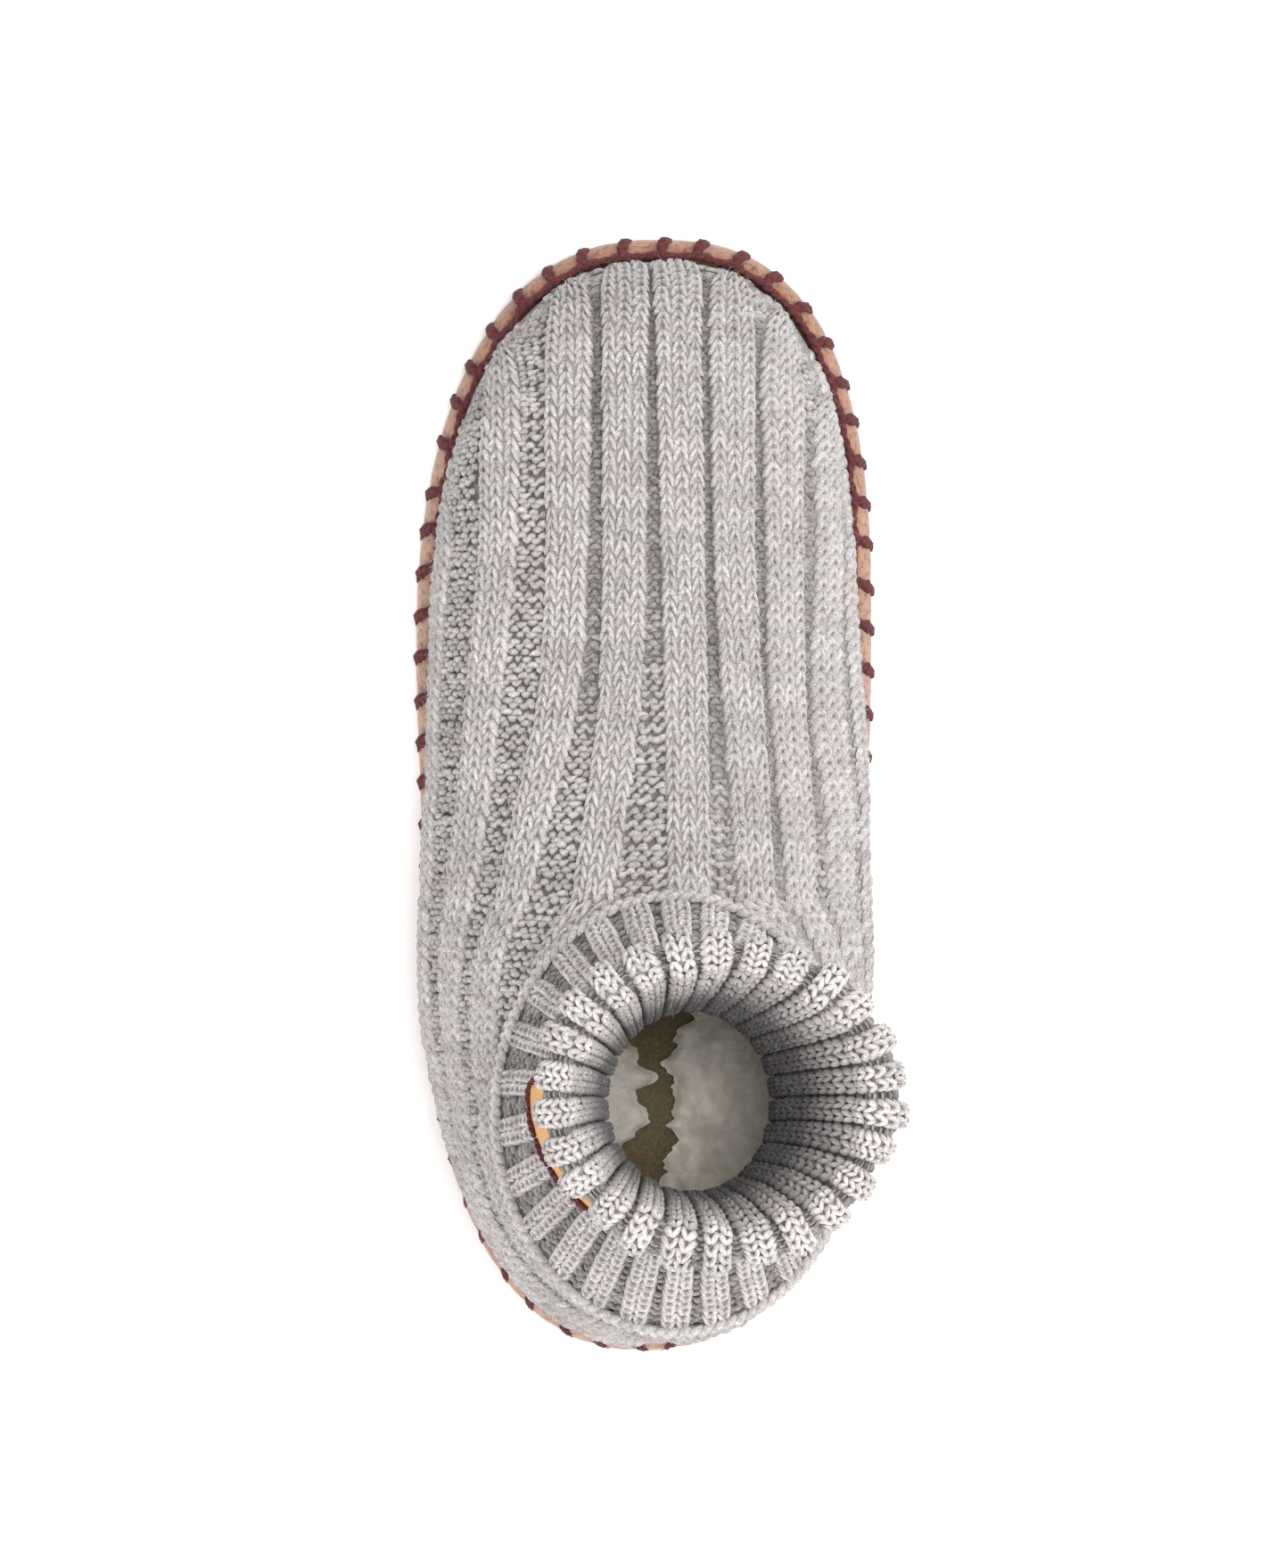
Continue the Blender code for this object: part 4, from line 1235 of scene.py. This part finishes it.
def strand(path, radius, start, pitch):
    """One ply of a twisted yarn: a tube carried along a path, circling it once for each pitch of length.

    The radius is one number or one for each point of the path, and start is the angle that it circles from.
    """
    radius = np.broadcast_to(np.asarray(radius, float), path.shape[:-1])[..., None]
    steps = np.linalg.norm(np.diff(path, axis=-2), axis=-1)
    along = np.concatenate([np.zeros(steps.shape[:-1] + (1,)), np.cumsum(steps, axis=-1)], -1)
    tangent = unit(np.gradient(path, axis=-2))
    up = np.zeros_like(path)
    up[..., 1:] = (0.02, 1)
    beside = unit(np.cross(tangent, up))
    above = np.cross(beside, tangent)
    phase = (2 * math.pi * along / pitch + start)[..., None]
    centre = path + PLY_OFFSET * radius * (np.cos(phase) * beside + np.sin(phase) * above)
    turn = np.linspace(0, 2 * math.pi, PLY_SIDES, endpoint=False)
    ring = np.cos(turn)[:, None] * beside[..., None, :] + np.sin(turn)[:, None] * above[..., None, :]
    place = np.stack(np.broadcast_arrays((along / 1.3)[..., None], turn / 2 + 0 * along[..., None]), -1)
    return centre[..., None, :] + radius[..., None] * ring, place


def add_yarn(batch, path, radius, pitch):
    """Add burgundy two-ply yarn along a path: two strands that start half a turn apart."""
    for start in (0, math.pi):
        points, place = strand(path, radius, start, pitch)
        batch.add(points, BURGUNDY, place, wrap=True, turn=True)


def running_line(outline):
    """The yarn's line where knit meets leather, and its radius, thicker at each leg by a cosine squared."""
    along = np.linspace(0, outline.length, outline.legs * RUN_STEPS_PER_STITCH + 1)
    near = np.cos(math.pi * along / outline.pitch) ** 2
    y = outline.at(along, 0, 0)[..., 1]
    under = 0.9 * ease((TOE_LEGS_FROM_Y - 5 - y) / 25)
    uneven = 0.25 * drift(along / 4, 0 * along, 62)
    inset = RUN_INSET + under + 0.8 * outline.rim_draw(along) - 0.3 * near + uneven
    inset = inset + (TOE_KNIT_DRAW - TOE_DRAW) * at_toe(y)
    return outline.at(along, inset, RUN_HEIGHT + 0.15 * near), RUN_RADIUS + RUN_THICKENING * near


def blanket_legs(outline):
    """The leaning legs over the rim, one for each pitch, and their radius.

    A leg follows the sole's section from the knit to the rim's outer side, sinks into the leather as it goes,
    and leans along the edge in proportion to the way down.
    """
    random = np.random.default_rng(61)
    share = np.linspace(*BLANKET_LEG_SHARES, BLANKET_LEG_STEPS)[None, :]
    inset, height = section_at(np.minimum(share, 1))
    proud = BLANKET_LEG_PROUD - BLANKET_LEG_SINK * ease((0.95 - share) / 0.35)
    start = np.arange(outline.legs)[:, None] * outline.pitch + random.normal(0, 0.35, (outline.legs, 1))
    beside = outline.at(start, 0.0, 0.0)
    x, y = beside[..., 0], beside[..., 1]
    heel = ease((HEEL_FROM_Y - y) / HEEL_RAMP)
    lean = np.where((x < 0) & (y < TOE_LEGS_FROM_Y), 1.0, -1.0) * (1 + HEEL_LEAN * heel)
    slant = (BLANKET_LEG_LEAN * lean + random.normal(0, 0.6, (outline.legs, 1))) * (1 - share)
    over = np.clip(share - 1, 0, None) * (14 + 18 * at_toe(y))
    drawn = inset - proud + over + outline.rim_draw(start)
    path = outline.at(start + slant, drawn, height + 0.35 * ease((share - 0.6) / 0.4) + 0 * start)
    return path, BLANKET_LEG_RADIUS * (0.8 + 0.35 * ease((1 - share) / 0.4)) * (1 - 0.3 * heel)


def blanket_stitches(outline):
    """Burgundy blanket stitching: its running line and its legs, both in the same two-ply yarn."""
    batch = Batch()
    add_yarn(batch, *running_line(outline), YARN_TWIST_PITCH)
    add_yarn(batch, *blanket_legs(outline), YARN_TWIST_PITCH)
    return batch


# Patch and its yarn
PATCH_STITCH_PITCH = 7.4
PATCH_STITCH_RADIUS = 0.62
PATCH_STITCH_SHARE = 0.94
PATCH_TWIST_PITCH = 3.4
PATCH_SIDE_POINTS = 400
PATCH_UNDER = 0.6
PATCH_EDGE_SHARE = 0.10


def patch_places(up, across):
    """Azimuths and shares on the patch: up and across from -1 to 1, corners cut by a power of across."""
    corner = 1 - PATCH_CORNER_CUT * abs(across) ** PATCH_CORNER_POWER
    azimuth = np.radians(PATCH_AZIMUTH_DEG + PATCH_HALF_SWEEP_DEG * across)
    return azimuth, PATCH_SHARE + PATCH_TILT * across + PATCH_HALF_SHARE * up * corner


def leather_patch():
    """The bare leather patch: a sheet over the cuff's form, its edge a quarter round down to the knit."""
    up = np.linspace(-1, 1, 31)[:, None]
    across = np.linspace(-1, 1, 61)[None, :]
    azimuth, share = patch_places(up, across)
    border = np.minimum(1 - abs(up), (1 - abs(across)) * 1.6)
    edge = 1 - np.clip(border / PATCH_EDGE_SHARE, 0, 1)
    thick = PATCH_UNDER + PATCH_THICKNESS * (1 - edge**2) ** 0.5 + 0.12 * drift(across * 9, up * 4, 71)
    under = cuff_points(azimuth, share, -0.3)
    out = unit(cuff_points(azimuth, share, -1.3) - under)
    batch = Batch()
    batch.add(under + out * thick[..., None])
    return batch


def patch_stitches():
    """Burgundy yarn round the patch: long stitches end to end along its edge, slanted and thin at their ends.

    A stitch runs a little less than the pitch along the edge, from the knit side to the leather side, and its
    radius follows the root of the sine of the way along it.
    """
    way = 2 * np.linspace(0, 1, PATCH_SIDE_POINTS) - 1
    end = np.ones(PATCH_SIDE_POINTS)
    up = np.concatenate([-end, way, end, -way])
    across = np.concatenate([way, end, -way, -end])
    outer = cuff_points(*patch_places(up * 1.12, across * 1.03), -2.0)
    inner = cuff_points(*patch_places(up, across), -2.9)
    along = along_path(outer)
    count = round(along[-1] / PATCH_STITCH_PITCH)
    s = np.linspace(0, 1, 13)[None, :]
    place = np.mod((np.arange(count)[:, None] + PATCH_STITCH_SHARE * s) * along[-1] / count, along[-1])
    low, high = on_path(place, along, outer), on_path(place, along, inner)
    batch = Batch()
    radius = PATCH_STITCH_RADIUS * np.sin(math.pi * (0.08 + 0.84 * s)) ** 0.5 + 0 * place
    add_yarn(batch, low + (high - low) * (0.15 + 0.7 * s)[..., None], radius, PATCH_TWIST_PITCH)
    return batch


# Fleece and loose fibres
LINING_GAP = 0.2
LINING_PILE = 0.5
FLAP_FLOOR = 8.0
FLAP_RISE = 30
FLAP_PILE = (2.4, 1.3)  # even part, cloudy part
FLAP_LOWEST = 6.2
FIBRE_COUNT = 12000
FIBRE_LENGTH = 1.9
FIBRE_WIDTH = 0.04


def fleece_lining(foot):
    """The lining: the upper's form drawn in by the wall, and rough by two scales of noise."""
    batch = Batch()
    for side in (-1, 1):
        points, _ = foot.form(side, WALL + LINING_GAP)
        points = points[::2]
        rough = drift(points[..., 1] / 5, points[..., 2] / 5 + points[..., 0] / 7, 81)
        rough = rough + 0.6 * drift(points[..., 1] / 2.2, points[..., 2] / 2.2, 82)
        centre = vectors(COLLAR_X * 0.6, np.clip(points[..., 1], -80, 90), 25)
        points = points + unit(centre - points) * (LINING_PILE + LINING_PILE * rough)[..., None]
        batch.add(points, place=np.stack([points[..., 1], points[..., 2]], -1) * 0.2, turn=side > 0)
    return batch


FLAP_EDGES = table(
    "y left right",
    (-112.0, -6.0, 5.0),
    (-90.0, -6.0, 4.6),
    (-85.3, -5.5, 5.2),
    (-80.7, -4.0, 8.3),
    (-78.8, -2.2, 7.4),
    (-75.5, 2.3, 5.8),
    (-71.3, -0.7, 7.3),
    (-68.9, -1.5, 6.2),
    (-67.2, 2.0, 6.6),
    (-62.1, -0.6, 4.6),
    (-59.5, -1.6, 6.2),
    (-56.7, -6.0, 8.2),
    (-53.0, -8.0, 10.8),
    (-40.0, -8.0, 13.0),
    (-18.0, -6.0, 11.0),
)


def fleece_flaps():
    """Turned-in lining over the insole: from the wall down to a torn edge, with cloudy tufts all over.

    Across each flap the height falls as a power of the way left to its edge, and the edge follows a short
    table with fine ragged noise. The tufts are noise at three scales.
    """
    batch = Batch()
    y = np.linspace(-116, -18, 120)[:, None]
    t = np.linspace(0, 1, 50)[None, :]
    for side, name in ((-1, "left"), (1, "right")):
        edge = smooth(y, FLAP_EDGES["y"], FLAP_EDGES[name])
        edge = edge + 1.2 * drift(y / 2.1, 0 * y + 3, 91 + side) + 0.8 * drift(y / 0.9, 0 * y, 93 + side)
        wall = middle_x(y) + side * np.maximum(half_width(y, TUCK_INSET + WALL + 1.5), 2.0)
        x = wall + (edge - wall) * t
        fall = (1 - t) ** 1.6
        cloud = 0
        for strength, size, seed in ((1.3, 6, 95), (0.9, 2.6, 96), (0.5, 1.1, 97)):
            cloud = cloud + strength * drift(y / size, x / size, seed)
        lip = ease((1 - t) / 0.06)
        z = FLAP_FLOOR + FLAP_RISE * fall + (FLAP_PILE[0] + FLAP_PILE[1] * cloud) * lip
        points = vectors(x + 0 * y, y + 0 * t, np.maximum(z, FLAP_LOWEST))
        batch.add(points, place=np.stack(np.broadcast_arrays(y * 0.2, x * 0.2), -1), turn=side < 0)
    return batch


def fibres(point, normal, seed, length, width, tone):
    """Loose wool fibres: narrow ribbons of two steps that lie nearly flat and curl to a random side."""
    random = np.random.default_rng(seed)
    n = len(point)
    lean = random.normal(0, 1, (n, 3))
    flat = unit(lean - normal * np.sum(lean * normal, -1, keepdims=True))
    start = unit(flat + normal * random.uniform(-0.10, 0.35, (n, 1)))
    bend = unit(random.normal(0, 1, (n, 3)))
    size = (length * random.uniform(0.4, 1.6, n))[:, None, None]
    s = np.linspace(0, 1, 3)[None, :, None]
    path = point[:, None] + size * (start[:, None] * (s - 0.3) + 0.4 * bend[:, None] * s**2)
    beside = unit(np.cross(start, normal))[:, None] * width * (1 - 0.6 * s)
    tone = tone * random.uniform(0.75, 1.3, (n, 1, 1, 1))
    batch = Batch()
    batch.add(np.stack([path - beside, path + beside], 2), tone)
    return batch


def node(tree, kind, at, **values):
    """A shader node with the given settings; names of inputs carry their values."""
    made = tree.nodes.new(kind)
    made.location = at
    for name, value in values.items():
        if hasattr(made, name):
            setattr(made, name, value)
        else:
            made.inputs[name.replace("_", " ")].default_value = value
    return made


def base_material(name, roughness, sheen=0.0, sheen_roughness=0.5):
    """A material with its shader's even settings on the shader's own sockets."""
    made = bpy.data.materials.new(name)
    made.use_nodes = True
    shader = made.node_tree.nodes["Principled BSDF"]
    shader.inputs["Roughness"].default_value = roughness
    shader.inputs["Specular IOR Level"].default_value = 0.25
    shader.inputs["Sheen Weight"].default_value = sheen
    shader.inputs["Sheen Roughness"].default_value = sheen_roughness
    return made, made.node_tree, shader


def over_object(tree, *textures):
    """Lay textures out by the object's own coordinates."""
    place = node(tree, "ShaderNodeTexCoord", (-1300, 0))
    for texture in textures:
        tree.links.new(place.outputs["Object"], texture.inputs["Vector"])


def ramp(tree, at, value, *stops):
    """The colour of a ramp over a value; each stop is a place and a grey or a colour."""
    made = node(tree, "ShaderNodeValToRGB", at)
    line = made.color_ramp
    while len(line.elements) < len(stops):
        line.elements.new(0.5)
    for element, (place, colour) in zip(line.elements, stops):
        element.position = place
        element.color = (*(colour if hasattr(colour, "__len__") else (colour,) * 3), 1)
    tree.links.new(value, made.inputs["Fac"])
    return made.outputs["Color"]


def multiply(tree, at, first, second):
    """The product of two colours."""
    made = node(tree, "ShaderNodeMix", at, data_type="RGBA", blend_type="MULTIPLY", Factor=1.0)
    tree.links.new(first, made.inputs["A"])
    tree.links.new(second, made.inputs["B"])
    return made.outputs["Result"]


def bump(tree, at, height, strength, distance, after=None):
    """A normal bent by a height, on top of an earlier bump if one is given."""
    made = node(tree, "ShaderNodeBump", at, Strength=strength, Distance=distance)
    tree.links.new(height, made.inputs["Height"])
    if after is not None:
        tree.links.new(after, made.inputs["Normal"])
    return made.outputs["Normal"]


def dress(tree, shader, colour, normal):
    """Link a colour and a bumped normal to the shader."""
    tree.links.new(colour, shader.inputs["Base Color"])
    tree.links.new(normal, shader.inputs["Normal"])


def yarn_material(name, contrast, sheen):
    """Wool yarn: the tone attribute times fibre streaks along the yarn and a speckle of loose fibre ends."""
    made, tree, shader = base_material(name, 0.92, sheen, 0.45)
    tone = node(tree, "ShaderNodeAttribute", (-1100, 400), attribute_name="tone")
    uv = node(tree, "ShaderNodeUVMap", (-1500, 0), uv_map="yarn")
    lay = node(tree, "ShaderNodeMapping", (-1300, 0), Scale=(1.1, 3.0, 1), Rotation=(0, 0, 0.12))
    tree.links.new(uv.outputs["UV"], lay.inputs["Vector"])
    fibre = node(tree, "ShaderNodeTexNoise", (-1100, 0), Scale=1.6, Detail=4.0, Roughness=0.6)
    tree.links.new(lay.outputs["Vector"], fibre.inputs["Vector"])
    ends = node(tree, "ShaderNodeTexNoise", (-1100, -400), Scale=1500.0, Detail=3.0, Roughness=0.65,
                Distortion=1.5)
    over_object(tree, ends)
    dark = 1 - contrast
    streaks = ramp(tree, (-850, 0), fibre.outputs["Fac"],
                   (0.30, dark), (0.5, 1.0), (0.72, 1 + contrast * 0.7))
    speckle = ramp(tree, (-850, -400), ends.outputs["Fac"], (0.32, dark), (0.5, 1.0), (0.68, 1 + contrast))
    streaked = multiply(tree, (-550, 300), tone.outputs["Color"], streaks)
    first = bump(tree, (-550, -200), fibre.outputs["Fac"], 0.55, 0.0003)
    second = bump(tree, (-350, -200), ends.outputs["Fac"], 0.5, 0.0003, first)
    dress(tree, shader, multiply(tree, (-350, 200), streaked, speckle), second)
    return made


def suede_material():
    """Tan suede: warm brown in slow patches times a fine nap of lighter and darker flecks and the tone."""
    made, tree, shader = base_material("tan_suede", 0.95, 0.35, 0.5)
    slow = node(tree, "ShaderNodeTexNoise", (-1000, 200), Scale=45.0, Detail=3.0)
    nap = node(tree, "ShaderNodeTexNoise", (-1000, -100), Scale=650.0, Detail=5.0, Roughness=0.75)
    over_object(tree, slow, nap)
    patches = ramp(tree, (-700, 200), slow.outputs["Fac"],
                   (0.3, (0.31, 0.165, 0.105)), (0.7, (0.40, 0.235, 0.165)))
    flecks = ramp(tree, (-700, -100), nap.outputs["Fac"], (0.36, 0.35), (0.48, 0.95), (0.68, 1.25))
    napped = multiply(tree, (-500, 100), patches, flecks)
    tone = node(tree, "ShaderNodeAttribute", (-500, 350), attribute_name="tone")
    colour = multiply(tree, (-250, 200), napped, tone.outputs["Color"])
    dress(tree, shader, colour, bump(tree, (-350, -200), nap.outputs["Fac"], 0.6, 0.0004))
    return made


def leather_material():
    """Smooth orange-tan leather: fine pebble grain in the bump, slow colour drift and a little gloss."""
    made, tree, shader = base_material("orange_tan_leather", 0.6)
    slow = node(tree, "ShaderNodeTexNoise", (-1000, 200), Scale=90.0, Detail=3.0)
    grain = node(tree, "ShaderNodeTexVoronoi", (-1000, -100), Scale=1500.0)
    over_object(tree, slow, grain)
    colour = ramp(tree, (-700, 200), slow.outputs["Fac"],
                  (0.3, (0.50, 0.25, 0.09)), (0.7, (0.64, 0.36, 0.15)))
    dress(tree, shader, colour, bump(tree, (-350, -200), grain.outputs["Distance"], 0.35, 0.0003))
    return made


def fleece_material():
    """Cream fleece: cloudy cream with fine curled pile in the bump."""
    made, tree, shader = base_material("cream_fleece", 0.95, 0.4, 0.5)
    cloud = node(tree, "ShaderNodeTexNoise", (-1000, 200), Scale=260.0, Detail=5.0, Roughness=0.65)
    pile = node(tree, "ShaderNodeTexNoise", (-1000, -100), Scale=1400.0, Detail=4.0, Distortion=1.2)
    over_object(tree, cloud, pile)
    colour = ramp(tree, (-700, 200), cloud.outputs["Fac"],
                  (0.25, (0.76, 0.70, 0.60)), (0.7, (0.97, 0.91, 0.81)))
    first = bump(tree, (-600, -300), cloud.outputs["Fac"], 0.7, 0.0012)
    dress(tree, shader, colour, bump(tree, (-350, -200), pile.outputs["Fac"], 0.5, 0.0004, first))
    return made


def felt_material():
    """Olive-brown felt: matted fibre noise in colour and bump."""
    made, tree, shader = base_material("olive_felt", 0.97, 0.2, 0.5)
    mat = node(tree, "ShaderNodeTexNoise", (-1000, 0), Scale=700.0, Detail=5.0, Distortion=2.0)
    over_object(tree, mat)
    colour = ramp(tree, (-700, 100), mat.outputs["Fac"],
                  (0.3, (0.13, 0.10, 0.055)), (0.7, (0.23, 0.185, 0.105)))
    dress(tree, shader, colour, bump(tree, (-350, -200), mat.outputs["Fac"], 0.5, 0.0005))
    return made


def fibre_points(foot, cuff, seed):
    """Random places for loose fibres on the ribs of the foot and of the cuff's outer side, with normals."""
    random = np.random.default_rng(seed)
    count = FIBRE_COUNT
    found = []
    for side in (-1, 1):
        row = random.uniform(4, foot.rows - 2, count)
        rib = random.integers(-1, len(foot.lines[side]), count)
        rise = foot.line(side, rib, row) + RIB_SHARE * WALE * random.uniform(-1, 1, count)
        here = (rise > 0.5) & (rise < foot.span(side, row) - 0.5)
        found.append(foot.at(side, row[here], rise[here]))
    row = random.uniform(1, cuff.rim_row + 26, count)
    column = random.integers(0, CUFF_RIBS, count) + 0.5 + random.uniform(-0.3, 0.3, count)
    found.append(cuff.at(row, column * CUFF_COLUMNS_PER_RIB))
    points, normals = zip(*found)
    return np.concatenate(points), np.concatenate(normals)


def build_slipper():
    """Make every piece of the slipper and say which solid it stands for."""
    foot, cuff, outline = Foot(), Cuff(), Outline()
    wool = yarn_material("grey_wool_yarn", 0.36, 0.12)
    burgundy = yarn_material("burgundy_wool_yarn", 0.55, 0.06)
    fleece = fleece_material()
    suede_sole(outline).make("suede_sole", suede_material(), "suede", "sole")
    felt_insole().make("felt_insole", felt_material(), "felt", "insole")
    foot_ground(foot).make("foot_knit_ground", wool, "grey_knit", "upper")
    for side, word in ((-1, "left"), (1, "right")):
        foot_stitches(foot, side, 21 + side).make(f"foot_rib_stitches_{word}", wool, "grey_knit")
        foot_valleys(foot, side, 24 + side).make(f"foot_purl_bars_{word}", wool, "grey_knit")
    cuff_ground(cuff).make("cuff_knit_ground", wool, "grey_rib_knit", "cuff")
    half = int(cuff.rim_row / 2) * 2
    outer = cuff_stitches(cuff, 0, half, CUFF_LEG, 27)
    outer.make("cuff_rib_stitches_outer", wool, "grey_rib_knit")
    inner = cuff_stitches(cuff, half, cuff.deep_row, CUFF_INNER_LEG, 28)
    inner.make("cuff_rib_stitches_inner", wool, "grey_rib_knit")
    cuff_valleys(cuff, 29).make("cuff_purl_bars", wool, "grey_rib_knit")
    collar_seam().make("collar_seam", wool, "grey_knit")
    back_seam(foot).make("back_seam", wool, "grey_knit")
    blanket_stitches(outline).make("blanket_stitch_yarn", burgundy)
    leather_patch().make("leather_patch", leather_material(), "tan_leather", "side_patch")
    patch_stitches().make("patch_edge_yarn", burgundy)
    fleece_lining(foot).make("fleece_lining", fleece)
    fleece_flaps().make("fleece_flaps", fleece)
    point, normal = fibre_points(foot, cuff, 33)
    loose = fibres(point - normal * 0.1, normal, 34, FIBRE_LENGTH, FIBRE_WIDTH, WOOL_LIGHT)
    loose.make("loose_wool_fibres", wool, "grey_knit")


# Studio: camera in millimetres, lights and floor in metres
CAMERA_PLACE = (-0.2, 2.3, 1300.0)
SENSOR_WIDTH = 36.0
PIXELS_PER_MM = 4.785
PHOTO_WIDTH = 1440
WORLD_STRENGTH = 0.75
LIGHTS = (
    ("overhead_light", 13.0, 0.5, (0.15, 0.08, 1.65), (0, 0, 0)),
    ("right_light", 20.0, 1.0, (0.95, 0.10, 1.35), (0, 0, 0)),
    ("heel_light", 12.0, 1.0, (-0.70, -1.10, 0.80), (0, -0.05, 0.05)),
)


def build_camera(scene):
    """A camera straight above; its lens gives the floor the photo's pixels for each millimetre."""
    camera = bpy.data.objects.new("camera", bpy.data.cameras.new("camera"))
    scene.collection.objects.link(camera)
    camera.location = [part * MM for part in CAMERA_PLACE]
    camera.data.sensor_fit = "HORIZONTAL"
    camera.data.sensor_width = SENSOR_WIDTH
    camera.data.lens = SENSOR_WIDTH * CAMERA_PLACE[2] / (PHOTO_WIDTH / PIXELS_PER_MM)
    scene.camera = camera


def build_floor(scene):
    """A wide white floor, which belongs to the studio and not to the slipper."""
    mesh = bpy.data.meshes.new("floor")
    mesh.from_pydata([(-3, -3, 0), (3, -3, 0), (3, 3, 0), (-3, 3, 0)], [], [(0, 1, 2, 3)])
    floor = bpy.data.objects.new("floor", mesh)
    scene.collection.objects.link(floor)
    made, _, shader = base_material("white_floor", 0.9)
    shader.inputs["Base Color"].default_value = (0.95, 0.95, 0.95, 1)
    mesh.materials.append(made)


def build_lights(scene):
    """Square soft lights from above, from the right and from behind the heel, and an even white surround."""
    for name, energy, size, place, aim in LIGHTS:
        light = bpy.data.objects.new(name, bpy.data.lights.new(name, "AREA"))
        light.data.energy = energy
        light.data.size = size
        light.location = place
        light.rotation_euler = (Vector(aim) - Vector(place)).to_track_quat("-Z", "Y").to_euler()
        scene.collection.objects.link(light)
    world = bpy.data.worlds.new("studio")
    world.use_nodes = True
    world.node_tree.nodes["Background"].inputs["Color"].default_value = (1, 1, 1, 1)
    world.node_tree.nodes["Background"].inputs["Strength"].default_value = WORLD_STRENGTH
    scene.world = world
    scene.view_settings.view_transform = "Standard"


def build_studio():
    """The camera, the floor and the lights."""
    scene = bpy.context.scene
    build_camera(scene)
    build_floor(scene)
    build_lights(scene)


build_studio()
build_slipper()
